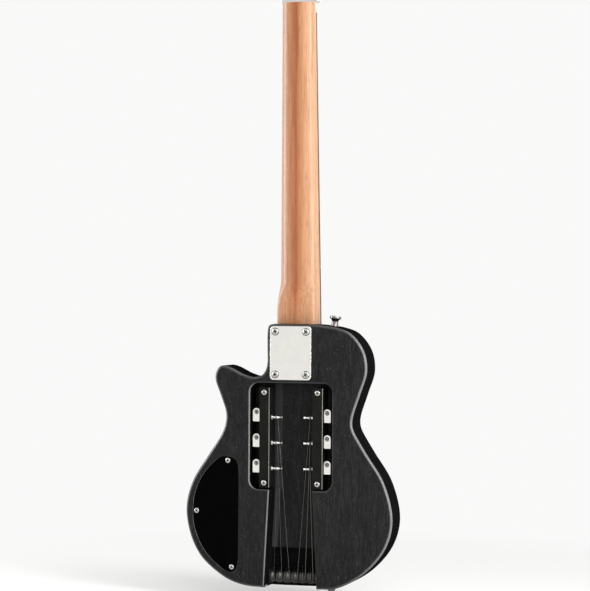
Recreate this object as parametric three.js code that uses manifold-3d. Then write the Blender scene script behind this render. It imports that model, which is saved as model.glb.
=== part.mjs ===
// A headless travel guitar with its tuners inside the body, in millimetres.
// +Z runs up the neck, +Y is the playing side and -Y the back.
// The origin is at the middle of the body's thickness, level with its lowest edge.
import * as THREE from 'three';
import { mergeVertices } from 'three/addons/utils/BufferGeometryUtils.js';
import Module from 'manifold-3d';

const wasm = await Module();
wasm.setup();

// Fits and small allowances
const slidingGap = 0.3;
const seatGap = 0.3;
const overrun = 4;
const weldDistance = 0.0001;
const halfTurn = Math.PI;
const fullTurn = 2 * Math.PI;

// Body
const bodyWidth = 256.6;
const bodyLength = 315;
const bodyThickness = 43;
const bodyEdgeRound = 4.2;
const backY = -bodyThickness / 2;
const frontY = bodyThickness / 2;

// The outline's places, as shares of the body's width and length, from the tail
// up the treble side with its horn and cutaway, and down the bass side.
const bodyOutlineShares = [
  [0, 0], [-0.1412, 0.0007], [-0.2217, 0.0052], [-0.2958, 0.0222], [-0.3687, 0.0578],
  [-0.4408, 0.1119], [-0.4918, 0.1923], [-0.5122, 0.2989], [-0.4792, 0.4004],
  [-0.4049, 0.4961], [-0.331, 0.5924], [-0.3176, 0.6548], [-0.3415, 0.7193],
  [-0.3711, 0.7855], [-0.3684, 0.8145], [-0.3533, 0.8345], [-0.3319, 0.84],
  [-0.2968, 0.8336], [-0.2327, 0.8088], [-0.1808, 0.7979], [-0.1444, 0.8053],
  [-0.1258, 0.8238], [-0.1172, 0.8503], [-0.1172, 0.91], [-0.1162, 0.9734],
  [-0.1089, 0.9939], [-0.0858, 1], [0, 1], [0.1053, 0.999], [0.159, 0.995],
  [0.2201, 0.9876], [0.2877, 0.9658], [0.349, 0.9017], [0.3643, 0.8241], [0.3326, 0.7391],
  [0.2984, 0.6552], [0.2948, 0.6259], [0.3012, 0.6025], [0.36, 0.5213], [0.4481, 0.4072],
  [0.4878, 0.2681], [0.4532, 0.1615], [0.3502, 0.0645], [0.2179, 0.007], [0.1461, 0.002],
];
const outlineStepsPerPoint = 2;

// Neck and fretboard
const scaleLength = 628.65;
const fretCount = 22;
const neckPitch = 2.0 * halfTurn / 180;
const boardRise = 5.1;
const boardThickness = 6;
const boardRadius = 305;
const boardEndMargin = 3.8;
const nutWidth = 41;
const boardEndWidth = 51;
const boardHeadMargin = 3.4;
const nutStringLift = 1.4;
const saddleStringLift = 5.4;
const bridgePlaceShare = 0.1816;
const bridgeZ = bridgePlaceShare * bodyLength;
const neckDepthAtNut = 14.2;
const neckDepthAtHeel = 16.7;
const heelDepth = 23.4;
const heelPocketLength = 65.4;
const heelBlockRise = 14;
const heelBlendLength = 40;
const headShelfLength = 15.2;
const neckRoundness = 2.1;
const heelRoundness = 9;
const neckSectionSteps = 12;
const fretWidth = 2.2;
const fretHeight = 1.1;
const fretInset = 0.4;
const fretRoot = 0.5;
const trussRodWidth = 6;
const trussRodDepth = 9;
const trussRodEndMargin = 12;
const trussNutRadius = 3.6;
const trussNutLength = 9;

// Head piece, which anchors the strings past the nut
const headWidth = 46;
const headLength = 25;
const headThickness = 12.5;
const headTongueThickness = 3.4;
const headHoleRadius = 1.1;
const ballRadius = 1.9;
const ballLength = 3;
const headScrewRadius = 1.6;
const headScrewHeadRadius = 2.9;
const headScrewHeadHeight = 1.5;
const headScrewSpacing = 24;
const headScrewLength = 10;
const headCorner = 2.5;
const headEdgeRound = 1;
const clampScrewRadius = 2.2;
const headDip = 0.9;

// Neck plate and its screws
const neckPlateWidth = 51;
const neckPlateHeight = 64;
const neckPlateThickness = 1.6;
const neckPlateCorner = 4.2;
const neckPlateDistance = 34.6;
const neckPlateZ = bodyLength - neckPlateDistance;
const neckScrewSpacingX = 38;
const neckScrewSpacingZ = 51;
const neckScrewRadius = 2.1;
const neckScrewHeadRadius = 4.1;
const neckScrewHeadHeight = 1.7;
const neckScrewLength = 36;

// Strings, from the high one on the treble side to the low one on the bass side
const stringDiameters = [0.25, 0.33, 0.43, 0.66, 0.91, 1.17];
const stringPitchAtTail = 9.8;
const stringPitchAtNut = 6.9;
const windingTurns = 2.25;
const windingGap = 0.5;
const windingStepsPerTurn = 14;
const stringSides = 6;
const stringRestGap = 0.2;
const stringHoleRoom = 1.1;

// Tuner cavity in the back and the string channel that runs on to the tail
const cavitySideGap = 2.1;
const cavityTopDistance = 70.6;
const cavityTopZ = bodyLength - cavityTopDistance;
const cavityCorner = 11;
const cavityDepth = 24.5;
const channelHalfWidthAtCavity = 26.4;
const channelHalfWidthAtTail = 32.6;
const pocketTopZ = 46.2;
const pocketLedge = 1.4;
const pocketDepth = 37;
const pocketBottomZ = 13.5;
const bracketRoomTopZ = 21.6;
const tailPocketDepth = 33.2;

// Tuners: two rails, six housings, six posts and six keys
const railInnerX = 26.8;
const railWidth = 12.5;
const railOuterX = railInnerX + railWidth;
const railTopDepth = 1.3;
const railCorner = 1;
const railLength = 120;
const railUpperGap = 5.2;
const railLowerGap = 1.6;
const railTopZ = cavityTopZ - railUpperGap;
const railBottomZ = railTopZ - railLength;
const cavityBottomZ = railBottomZ - railLowerGap;
const railCentreZ = (railTopZ + railBottomZ) / 2;
const railScrewInset = 6;
const railScrewRadius = 1.6;
const railScrewHeadRadius = 3.1;
const railScrewHeadHeight = 1.5;
const railScrewLength = 30;
const postPitch = 30.6;
const middlePostDrop = 6.6;
const middlePostZ = railCentreZ - middlePostDrop;
const postDepth = 12.2;
const postRadius = 2;
const postInnerX = 13.2;
const postFlangeRadius = 2.7;
const postFlangeLength = 0.9;
const postSides = 10;
const bushingFlangeRadius = 4.5;
const bushingFlangeLength = 1.5;
const takeOffX = 20.3;
const housingWidth = 9.5;
const cavityHalfWidth = railOuterX + housingWidth + cavitySideGap;
const housingHeight = 16.4;
const housingLength = 15.5;
const housingTopDepth = 4.5;
const housingDrop = 5.2;
const housingCorner = 1.2;
const wormInset = 4.6;
const wormX = railOuterX + wormInset;
const wormOffset = 6.4;
const keyShaftRadius = 2.1;
const wheelRadius = 3.9;
const wheelWidth = 4.2;
const wheelWall = 0.4;
const keyEndProud = 0.4;
const buttonHalfLength = 8.2;
const buttonHalfHeight = 5.6;
const buttonHalfThickness = 3.7;
const buttonCentreDepth = 40;
const slotHalfWidth = 12.4;
const slotDepth = 12;

// Tail rollers on their axle
const rollerAxleDepth = 22.6;
const rollerAxleZ = 12.2;
const rollerRadius = 7.5;
const rollerGrooveRadius = 6;
const rollerGrooveWidth = 1.8;
const rollerRimWidth = 2.2;
const rollerEdge = 0.3;
const rollerWidth = 9.3;
const axleRadius = 2;
const rollerSides = 14;
const bracketWall = 1.6;
const bracketCheekHalfDepth = 8.2;
const bracketFootLength = 8;
const bracketScrewSpacing = 36;
const bracketScrewLength = 8;
const bracketScrewHeadHeight = 1.1;
const smallScrewRadius = 1.4;
const smallScrewHeadRadius = 2.7;
const smallScrewHeadHeight = 1.4;
const coverScrewHeadRadius = 3.1;
const coverScrewLength = 12;

// Bridge on two posts
const bridgeHalfLength = 42;
const bridgeWidth = 12.6;
const bridgeHeight = 6.6;
const bridgeRise = 8.6;
const bridgePostX = 37;
const bridgePostRadius = 2.9;
const bridgePostDepth = 14;
const bridgeEdgeRound = 0.6;
const thumbWheelRadius = 8.4;
const thumbWheelHeight = 2;
const troughHalfLength = 30.4;
const troughWidth = 9.8;
const troughFloor = 1.8;
const saddleWidth = 8.2;
const saddleLength = 4;
const saddleTravel = 2.5;
const saddleCrest = 0.9;
const saddleScrewRadius = 0.9;
const saddleScrewHeadRadius = 1.7;
const saddleScrewHeadLength = 1.2;

// Pickup, screwed into the body by its ears
const pickupPlaceShare = 0.308;
const pickupZ = pickupPlaceShare * bodyLength;
const pickupLength = 68;
const pickupWidth = 36.5;
const pickupHeight = 18;
const pickupRise = 9.4;
const pickupCorner = 3;
const pickupEarReach = 6.5;
const pickupEarWidth = 9;
const pickupEarThickness = 1.6;
const pickupScrewDepth = 8;
const pickupEdgeRound = 0.6;
const poleRadius = 2.4;
const poleHeight = 0.6;
const poleRowSpacing = 18;

// Controls
const coverThickness = 2;
const coverInset = 7.2;
const controlFloor = 8;
const knobSideShare = -0.3548;
const knobX = knobSideShare * bodyWidth;
const volumeKnobShare = 0.362;
const volumeKnobZ = volumeKnobShare * bodyLength;
const toneKnobShare = 0.235;
const toneKnobZ = toneKnobShare * bodyLength;
const knobRadius = 9.5;
const knobTopRadius = 8.6;
const knobHeight = 14;
const knobWall = 1.9;
const knobHollow = 4.4;
const potRadius = 8.3;
const potHeight = 10;
const potBushingRadius = 4.2;
const potBushingRise = 3.6;
const potShaftRadius = 3;
const potShaftRise = 11;
const potNutRadius = 6.6;
const potNutHeight = 1.9;
// The cover's places, as shares of the body's width and length
const coverOutlineShares = [
  [-0.3061, 0.494], [-0.3359, 0.4935], [-0.3617, 0.48], [-0.4134, 0.437], [-0.4502, 0.388],
  [-0.471, 0.332], [-0.475, 0.28], [-0.4701, 0.23], [-0.4392, 0.162], [-0.4005, 0.117],
  [-0.3607, 0.087], [-0.3329, 0.069], [-0.3101, 0.057], [-0.2882, 0.054], [-0.2693, 0.062],
  [-0.2554, 0.085], [-0.2524, 0.13], [-0.2514, 0.275], [-0.2514, 0.42], [-0.2544, 0.46],
  [-0.2643, 0.48], [-0.2822, 0.49],
];
const coverScrewShares = [[-0.3036, 0.479], [-0.4571, 0.2845], [-0.2832, 0.0738]];

// Output socket in the treble side of the lower bout
const socketPlaceShare = 0.2794;
const socketZ = socketPlaceShare * bodyLength;
const socketDepth = 24;
const socketBoreRadius = 3.3;
const socketBarrelRadius = 5.6;
const socketLength = 26;
const socketPlateRadius = 12.5;
const socketPlateThickness = 2;
const socketPlateEdge = 0.8;
const socketNutRadius = 8.6;
const socketNutHeight = 1.8;
const socketSeatShare = -0.5082;
const socketSeatX = socketSeatShare * bodyWidth;

// Strap buttons
const upperButtonShare = 0.1868;
const upperButtonX = upperButtonShare * bodyWidth;
const tailButtonShare = 0.1789;
const tailButtonX = tailButtonShare * bodyWidth;
const strapButtonRadius = 7;
const strapButtonWaist = 3.9;
const strapButtonFoot = 5.2;
const strapButtonHeight = 12;
const strapButtonRim = 3;
const strapScrewRadius = 1.9;
const strapScrewHeadRadius = 3.7;
const strapScrewHeadHeight = 1.4;
const strapScrewLength = 24;

// Turns a closed geometry into a solid that can be joined and cut.
function solidOf(geometry) {
  const bare = geometry.clone();
  bare.deleteAttribute('normal');
  bare.deleteAttribute('uv');
  const welded = mergeVertices(bare, weldDistance);
  const corners = welded.index.array;
  const kept = [];
  for (let i = 0; i < corners.length; i += 3) {
    const [a, b, c] = [corners[i], corners[i + 1], corners[i + 2]];
    if (a !== b && b !== c && c !== a) kept.push(a, b, c);
  }
  const vertProperties = new Float32Array(welded.attributes.position.array);
  const triVerts = new Uint32Array(kept);
  return new wasm.Manifold(new wasm.Mesh({ numProp: 3, vertProperties, triVerts }));
}

function geometryOf(solid) {
  const mesh = solid.getMesh();
  const geometry = new THREE.BufferGeometry();
  geometry.setAttribute('position', new THREE.BufferAttribute(mesh.vertProperties, 3));
  geometry.setIndex(new THREE.BufferAttribute(mesh.triVerts, 1));
  geometry.computeVertexNormals();
  return geometry;
}

function joined(solids) {
  return solids.reduce((whole, solid) => whole.add(solid));
}

function moved(geometry, matrix) {
  return geometry.clone().applyMatrix4(matrix);
}

// Simple solids between named limits
function block(fromX, toX, fromY, toY, fromZ, toZ) {
  const geometry = new THREE.BoxGeometry(toX - fromX, toY - fromY, toZ - fromZ);
  geometry.translate((fromX + toX) / 2, (fromY + toY) / 2, (fromZ + toZ) / 2);
  return solidOf(geometry);
}

function rodY(radius, x, z, fromY, toY, sides = 10) {
  const geometry = new THREE.CylinderGeometry(radius, radius, toY - fromY, sides);
  geometry.translate(x, (fromY + toY) / 2, z);
  return solidOf(geometry);
}

function rodX(radius, y, z, fromX, toX, sides = 10) {
  const geometry = new THREE.CylinderGeometry(radius, radius, toX - fromX, sides);
  geometry.rotateZ(-halfTurn / 2);
  geometry.translate((fromX + toX) / 2, y, z);
  return solidOf(geometry);
}

function rodZ(radius, x, y, fromZ, toZ, sides = 8) {
  const geometry = new THREE.CylinderGeometry(radius, radius, toZ - fromZ, sides);
  geometry.rotateX(halfTurn / 2);
  geometry.translate(x, y, (fromZ + toZ) / 2);
  return solidOf(geometry);
}

// A turned piece: its profile is a list of [radius, height] along its own axis.
function turned(profile, sides) {
  const points = profile.map(([radius, height]) => new THREE.Vector2(radius, height));
  return new THREE.LatheGeometry(points, sides);
}

function closedProfile(profile) {
  return [...profile, profile[0]];
}

// A flat outline in X and Z, given thickness between two places in Y.
function plate(points, fromY, toY, round = 0, roundSteps = 1) {
  const shape = new THREE.Shape(points);
  const geometry = new THREE.ExtrudeGeometry(shape, {
    depth: toY - fromY - 2 * round,
    bevelEnabled: round > 0,
    bevelThickness: round,
    bevelSize: round,
    bevelOffset: -round,
    bevelSegments: roundSteps,
  });
  geometry.rotateX(halfTurn / 2);
  geometry.translate(0, toY - round, 0);
  return solidOf(geometry);
}

// Turns the faces of a mirrored geometry back outwards.
function flipped(geometry) {
  const loose = geometry.index ? geometry.toNonIndexed() : geometry;
  const place = loose.attributes.position;
  const corner = new THREE.Vector3();
  const other = new THREE.Vector3();
  for (let i = 0; i < place.count; i += 3) {
    corner.fromBufferAttribute(place, i + 1);
    other.fromBufferAttribute(place, i + 2);
    place.setXYZ(i + 1, other.x, other.y, other.z);
    place.setXYZ(i + 2, corner.x, corner.y, corner.z);
  }
  return loose;
}

function roundedRectangle(centreX, centreZ, width, height, corner, steps = 3) {
  const points = [];
  const centres = [[1, 1, 0], [-1, 1, 1], [-1, -1, 2], [1, -1, 3]];
  for (const [sideX, sideZ, quarter] of centres) {
    for (let i = 0; i <= steps; i += 1) {
      const angle = (quarter + i / steps) * halfTurn / 2;
      const x = centreX + sideX * (width / 2 - corner) + corner * Math.cos(angle);
      const z = centreZ + sideZ * (height / 2 - corner) + corner * Math.sin(angle);
      points.push(new THREE.Vector2(x, z));
    }
  }
  return points;
}

// A smooth closed outline through places given as shares of the body's size.
function outlineThrough(shares) {
  const places = shares.map(([x, z]) => new THREE.Vector3(x * bodyWidth, z * bodyLength, 0));
  const curve = new THREE.CatmullRomCurve3(places, true, 'centripetal');
  const points = curve.getPoints(shares.length * outlineStepsPerPoint);
  points.pop();
  const flat = points.map((point) => new THREE.Vector2(point.x, point.y));
  return THREE.ShapeUtils.isClockWise(flat) ? flat.reverse() : flat;
}

// The same outline drawn in towards its middle, so that its ends move by a distance.
function drawnIn(points, distance) {
  const box = new THREE.Box2().setFromPoints(points);
  const middle = box.getCenter(new THREE.Vector2());
  const size = box.getSize(new THREE.Vector2());
  const shareX = 1 - 2 * distance / size.x;
  const shareY = 1 - 2 * distance / size.y;
  return points.map((point) => new THREE.Vector2(
    middle.x + (point.x - middle.x) * shareX,
    middle.y + (point.y - middle.y) * shareY,
  ));
}

// A solid through rings of equally many points, closed at both ends.
function loft(rings) {
  const count = rings[0].length;
  const positions = rings.flat().flatMap((point) => [point.x, point.y, point.z]);
  const faces = [];
  for (let ring = 0; ring < rings.length - 1; ring += 1) {
    for (let i = 0; i < count; i += 1) {
      const a = ring * count + i;
      const b = ring * count + (i + 1) % count;
      faces.push(a, b, b + count, a, b + count, a + count);
    }
  }
  const last = (rings.length - 1) * count;
  for (let i = 1; i < count - 1; i += 1) {
    faces.push(0, i + 1, i);
    faces.push(last, last + i, last + i + 1);
  }
  const geometry = new THREE.BufferGeometry();
  geometry.setAttribute('position', new THREE.Float32BufferAttribute(positions, 3));
  geometry.setIndex(faces);
  return geometry;
}

// The scene graph
const guitar = new THREE.Group();
const headJoint = bridgeZ + scaleLength * Math.cos(neckPitch) - bodyLength;
const nutZ = headJoint / Math.cos(neckPitch);
const neckGroup = new THREE.Group();
neckGroup.position.set(0, frontY + boardRise, bodyLength);
neckGroup.rotation.set(neckPitch, 0, 0);
neckGroup.updateMatrix();
guitar.add(neckGroup);

function addNode(name, geometry, colour, roughness, metalness, parent = guitar) {
  const material = new THREE.MeshStandardMaterial({ color: colour, roughness, metalness });
  const mesh = new THREE.Mesh(geometry, material);
  mesh.name = name;
  parent.add(mesh);
  return mesh;
}

const satinBlack = [0x262626, 0.55, 0];
const glossBlack = [0x0a0a0a, 0.15, 0];
const railBlack = [0x202022, 0.4, 0.2];
const chrome = [0xd8d8d8, 0.18, 1];
const steel = [0xb9b9bb, 0.3, 1];
const mahogany = [0xc07c55, 0.5, 0];
const rosewood = [0x3a241b, 0.6, 0];
const knobBlack = [0x141414, 0.35, 0];

// Neck sizes at a height in the neck's own frame, where the board's face is at y = 0
function boardHalfWidth(z) {
  const boardLength = nutZ - boardEndZ();
  const share = Math.min(Math.max((nutZ - z) / boardLength, 0), 1 + boardEndMargin / boardLength);
  return (nutWidth + (boardEndWidth - nutWidth) * share) / 2;
}

function fretZ(fret) {
  return nutZ - scaleLength * (1 - 2 ** (-fret / 12));
}

function boardEndZ() {
  return fretZ(fretCount) - boardEndMargin;
}

function crown(x) {
  return boardRadius - Math.sqrt(boardRadius * boardRadius - x * x);
}

function smoothShare(share) {
  const held = Math.min(Math.max(share, 0), 1);
  return held * held * (3 - 2 * held);
}

const heelEndLocalZ = -heelPocketLength / Math.cos(neckPitch);
const neckTopY = -boardThickness - seatGap;
const boardHeadZ = nutZ + boardHeadMargin;
const neckEndZ = nutZ + headShelfLength;

// One cross-section of the neck's wood, flat in front and round or square behind
function neckRing(z, room = 0) {
  const blend = smoothShare((z - heelBlockRise) / heelBlendLength);
  const taperShare = Math.min(Math.max((z - heelBlockRise) / (nutZ - heelBlockRise), 0), 1);
  const slimDepth = neckDepthAtHeel + (neckDepthAtNut - neckDepthAtHeel) * taperShare;
  const depth = heelDepth + (slimDepth - heelDepth) * blend + room;
  const power = 2 / (heelRoundness + (neckRoundness - heelRoundness) * blend);
  const half = boardHalfWidth(z) + room;
  const ring = [];
  for (let i = 0; i <= neckSectionSteps; i += 1) {
    const angle = i * halfTurn / neckSectionSteps;
    const across = Math.sign(Math.cos(angle)) * Math.abs(Math.cos(angle)) ** power;
    const down = Math.abs(Math.sin(angle)) ** power;
    const onAxis = i === neckSectionSteps / 2 ? 0 : across * half;
    ring.push(new THREE.Vector3(onAxis, neckTopY - depth * down, z));
  }
  return ring;
}

// The room that the heel and the board need in the body's front
function neckPocket() {
  const top = heelBlockRise;
  const rings = [heelEndLocalZ - slidingGap, top].map((z) => {
    const ring = neckRing(z, slidingGap);
    const last = ring.length - 1;
    ring[0] = new THREE.Vector3(ring[0].x, boardThickness, z);
    ring[last] = new THREE.Vector3(ring[last].x, boardThickness, z);
    return ring.reverse();
  });
  return solidOf(moved(loft(rings), neckGroup.matrix));
}

function toNeckFrame(solidGeometry) {
  return moved(solidGeometry, neckGroup.matrix.clone().invert());
}

const neckScrewPlaces = [];
for (const sideX of [-1, 1]) {
  for (const sideZ of [-1, 1]) {
    const x = sideX * neckScrewSpacingX / 2;
    const z = neckPlateZ + sideZ * neckScrewSpacingZ / 2;
    neckScrewPlaces.push([x, z]);
  }
}

function buildNeck() {
  const stations = [heelEndLocalZ, heelBlockRise];
  const blendSteps = 5;
  for (let i = 1; i <= blendSteps; i += 1) {
    stations.push(heelBlockRise + heelBlendLength * i / blendSteps);
  }
  stations.push(nutZ, neckEndZ);
  let solid = solidOf(loft(stations.map((z) => neckRing(z).reverse())));
  const slotHalf = trussRodWidth / 2 + slidingGap;
  const slotBottom = neckTopY - trussRodDepth - slidingGap - seatGap;
  const rodFrom = heelEndLocalZ + trussRodEndMargin;
  solid = solid.subtract(block(-slotHalf, slotHalf, slotBottom, overrun, rodFrom, nutZ));
  const nutRoom = trussNutRadius + slidingGap;
  const nutY = neckTopY - seatGap - trussRodDepth / 2;
  solid = solid.subtract(rodZ(nutRoom, 0, nutY, heelEndLocalZ - overrun, rodFrom + overrun));
  for (const [x, z] of neckScrewPlaces) {
    const boreTop = frontY - boardThickness;
    const bore = rodY(neckScrewRadius + 2 * slidingGap, x, z, backY, boreTop);
    solid = solid.subtract(solidOf(toNeckFrame(geometryOf(bore))));
  }
  for (const [x, z] of headScrewPlaces()) {
    const bore = rodY(headScrewRadius + slidingGap, x, z, neckTopY - headScrewLength, overrun);
    solid = solid.subtract(bore);
  }
  addNode('neck', geometryOf(solid), ...mahogany, neckGroup);
}

function headScrewPlaces() {
  const z = boardHeadZ + (neckEndZ - boardHeadZ) / 2;
  return [-1, 1].map((side) => [side * headScrewSpacing / 2, z]);
}

function buildTrussRod() {
  const top = neckTopY - seatGap;
  const rodFrom = heelEndLocalZ + trussRodEndMargin;
  const half = trussRodWidth / 2;
  const bar = block(-half, half, top - trussRodDepth, top, rodFrom + slidingGap, nutZ - slidingGap);
  const nutY = top - trussRodDepth / 2;
  const nut = rodZ(trussNutRadius, 0, nutY, rodFrom - trussNutLength, rodFrom + 1.5 * slidingGap, 6);
  addNode('truss_rod', geometryOf(bar.add(nut)), ...steel, neckGroup);
}

// A cross-section of the fretboard with its crowned face
function boardRing(z) {
  const half = boardHalfWidth(z);
  const steps = 2;
  const ring = [new THREE.Vector3(-half, -boardThickness, z), new THREE.Vector3(half, -boardThickness, z)];
  for (let i = 0; i <= steps; i += 1) {
    const x = half - 2 * half * i / steps;
    ring.push(new THREE.Vector3(x, -crown(x), z));
  }
  return ring;
}

function buildFretboard() {
  const board = solidOf(loft([boardEndZ(), boardHeadZ].map(boardRing)));
  const frets = [fretSolid(0, nutStringLift - stringRestGap)];
  for (let fret = 1; fret <= fretCount; fret += 1) frets.push(fretSolid(fret, fretHeight));
  addNode('fretboard', geometryOf(joined([board, ...frets])), ...rosewood, neckGroup);
}

// One fret: a low dome, rooted in the board, that follows its crown from side to side
function fretSolid(fret, height) {
  const z = fretZ(fret);
  const half = boardHalfWidth(z) - fretInset;
  const steps = 2;
  const rings = [];
  for (let i = 0; i <= steps; i += 1) {
    const x = -half + 2 * half * i / steps;
    const face = -crown(x);
    rings.push([
      new THREE.Vector3(x, face - fretRoot, z - fretWidth / 2),
      new THREE.Vector3(x, face - fretRoot, z + fretWidth / 2),
      new THREE.Vector3(x, face + height, z + fretWidth / 4),
      new THREE.Vector3(x, face + height, z - fretWidth / 4),
    ]);
  }
  return solidOf(flipped(loft(rings)));
}

// Head piece: a block past the end of the wood, with a tongue screwed to the shelf
const headFrontY = neckTopY + seatGap + headThickness;
const headBottomZ = neckEndZ + seatGap;

const ballFromZ = headBottomZ + headLength / 2 + seatGap;

function stringNutX(index) {
  return (index - 2.5) * stringPitchAtNut;
}

function headStringY(index) {
  return nutStringLift - crown(stringNutX(index)) + stringDiameters[index] / 2 - headDip;
}

function buildHeadPiece() {
  const top = headBottomZ + headLength;
  const backFace = neckTopY + seatGap;
  const middleZ = headBottomZ + headLength / 2;
  const outline = roundedRectangle(0, middleZ, headWidth, headLength, headCorner, 2);
  let solid = plate(outline, backFace, headFrontY, headEdgeRound);
  const tongueHalf = nutWidth / 2 - slidingGap;
  const tongueTop = backFace + headTongueThickness;
  const tongueFrom = boardHeadZ + seatGap;
  solid = solid.add(block(-tongueHalf, tongueHalf, backFace, tongueTop, tongueFrom, middleZ));
  for (let index = 0; index < stringDiameters.length; index += 1) {
    const x = stringNutX(index);
    const y = headStringY(index);
    const hole = rodZ(headHoleRadius, x, y, headBottomZ - overrun, top + overrun, 6);
    const seat = rodZ(ballRadius + slidingGap, x, y, middleZ, top + overrun, 8);
    solid = solid.subtract(hole).subtract(seat);
  }
  const screwShape = screw(headScrewRadius, headScrewHeadRadius, headScrewHeadHeight, headScrewLength);
  for (const [x, z] of headScrewPlaces()) {
    solid = solid.add(solidOf(screwAt(screwShape, x, tongueTop, z, true)));
  }
  const clampTop = backFace + headThickness / 4;
  solid = solid.subtract(rodY(clampScrewRadius, 0, middleZ, backFace - overrun, clampTop, 6));
  addNode('head_piece', geometryOf(solid), ...chrome, neckGroup);
}

function screw(radius, headRadius, headHeight, length, sides = 8) {
  const profile = [[0, -length], [radius * 0.5, -length], [radius, radius * 2 - length], [radius, 0],
    [headRadius, 0], [headRadius, headHeight * 0.35], [headRadius * 0.6, headHeight], [0, headHeight]];
  return turned(profile, sides);
}

// Puts a screw's shank along +Y, so that its head looks to the back, or turns it round.
function screwAt(geometry, x, y, z, headToFront = false) {
  const turnedScrew = geometry.clone();
  if (!headToFront) turnedScrew.rotateX(halfTurn);
  turnedScrew.translate(x, y, z);
  return turnedScrew;
}

// Body, with everything that is cut into it
const bodyOutline = outlineThrough(bodyOutlineShares);
const coverOutline = outlineThrough(coverOutlineShares);
const postPlacesZ = [1, 0, -1].map((row) => middlePostZ + row * postPitch);
const postY = backY + postDepth;
const cavityFloorY = backY + cavityDepth;
const railScrewPlaces = [];
for (const side of [-1, 1]) {
  for (const end of [-1, 1]) {
    const x = side * (railInnerX + railWidth / 2);
    const z = railCentreZ + end * (railLength / 2 - railScrewInset);
    railScrewPlaces.push([x, z]);
  }
}

function cavityOutline() {
  const centreZ = (cavityBottomZ + cavityTopZ) / 2;
  const height = cavityTopZ - cavityBottomZ;
  return roundedRectangle(0, centreZ, 2 * cavityHalfWidth, height, cavityCorner);
}

function channelHalfWidth(z) {
  const share = z / cavityBottomZ;
  return channelHalfWidthAtTail + (channelHalfWidthAtCavity - channelHalfWidthAtTail) * share;
}

// The part of the string channel between two heights, drawn in by a ledge
function channelOutline(fromZ, toZ, ledge = 0) {
  const low = channelHalfWidth(fromZ) - ledge;
  const high = channelHalfWidth(toZ) - ledge;
  return [[-low, fromZ], [low, fromZ], [high, toZ], [-high, toZ]]
    .map(([x, z]) => new THREE.Vector2(x, z));
}

function coverScrewPlaces() {
  return coverScrewShares.map(([x, z]) => [x * bodyWidth, z * bodyLength]);
}

function slotOutline(side) {
  const top = postPlacesZ[0] + wormOffset + slotHalfWidth;
  const bottom = postPlacesZ[2] + wormOffset - slotHalfWidth;
  return roundedRectangle(side * wormX, (top + bottom) / 2, 2 * slotHalfWidth, top - bottom,
    slotHalfWidth - slidingGap, 4);
}

// A string's straight run from the bridge down to its roller, in Y and Z
const rollerCentre = new THREE.Vector2(backY + rollerAxleDepth, rollerAxleZ);

function stringTailX(index) {
  return (index - 2.5) * stringPitchAtTail;
}

function atNeck(x, y, z) {
  return new THREE.Vector3(x, y, z).applyMatrix4(neckGroup.matrix);
}

function saddleTop(index) {
  const x = stringTailX(index);
  const y = saddleStringLift - crown(x);
  return atNeck(x, y, nutZ - scaleLength);
}

function bridgeLeave(index) {
  const top = saddleTop(index);
  const z = top.z - saddleTravel - saddleCrest;
  return new THREE.Vector2(top.y + stringDiameters[index] / 2, z);
}

// The direction, as an angle, of the radius that meets a tangent between two circles
function tangentAngle(fromCentre, toCentre, sum, turn) {
  const gap = toCentre.clone().sub(fromCentre);
  return gap.angle() + turn * Math.acos(sum / gap.length());
}

function rollerPathRadius(index) {
  return rollerGrooveRadius + slidingGap + stringDiameters[index] / 2;
}

function frontTangentAngle(index) {
  return tangentAngle(rollerCentre, bridgeLeave(index), rollerPathRadius(index), -1);
}

function onCircle(centre, radius, angle) {
  return new THREE.Vector2(centre.x + radius * Math.cos(angle), centre.y + radius * Math.sin(angle));
}

// The slanted hole that a string takes through the body's front
function stringHole(index) {
  const from = onCircle(rollerCentre, rollerPathRadius(index), frontTangentAngle(index));
  const to = bridgeLeave(index);
  const wallY = backY + pocketDepth;
  const run = to.clone().sub(from);
  const at = (y) => from.clone().addScaledVector(run, (y - from.x) / run.x);
  const start = at(wallY - overrun);
  const end = at(frontY + overrun);
  const x = stringTailX(index);
  const path = new THREE.LineCurve3(
    new THREE.Vector3(x, start.x, start.y),
    new THREE.Vector3(x, end.x, end.y),
  );
  const radius = stringDiameters[index] / 2 + stringHoleRoom;
  return solidOf(tube(path, 1, radius, 6));
}

function circleShape(radius, sides) {
  const points = [];
  for (let i = 0; i < sides; i += 1) {
    const angle = fullTurn * i / sides;
    points.push(new THREE.Vector2(radius * Math.cos(angle), radius * Math.sin(angle)));
  }
  return new THREE.Shape(points);
}

function tube(path, steps, radius, sides) {
  const options = { steps, extrudePath: path, bevelEnabled: false };
  return new THREE.ExtrudeGeometry(circleShape(radius, sides), options);
}

function cutBack(body) {
  let solid = body.subtract(plate(cavityOutline(), backY - overrun, cavityFloorY));
  const channel = channelOutline(-overrun, cavityBottomZ + cavityCorner);
  solid = solid.subtract(plate(channel, backY - overrun, cavityFloorY));
  const tail = channelOutline(-overrun, bracketRoomTopZ);
  solid = solid.subtract(plate(tail, backY, backY + tailPocketDepth));
  const pocket = channelOutline(pocketBottomZ, pocketTopZ, pocketLedge);
  solid = solid.subtract(plate(pocket, backY, backY + pocketDepth));
  return solid;
}

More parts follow.
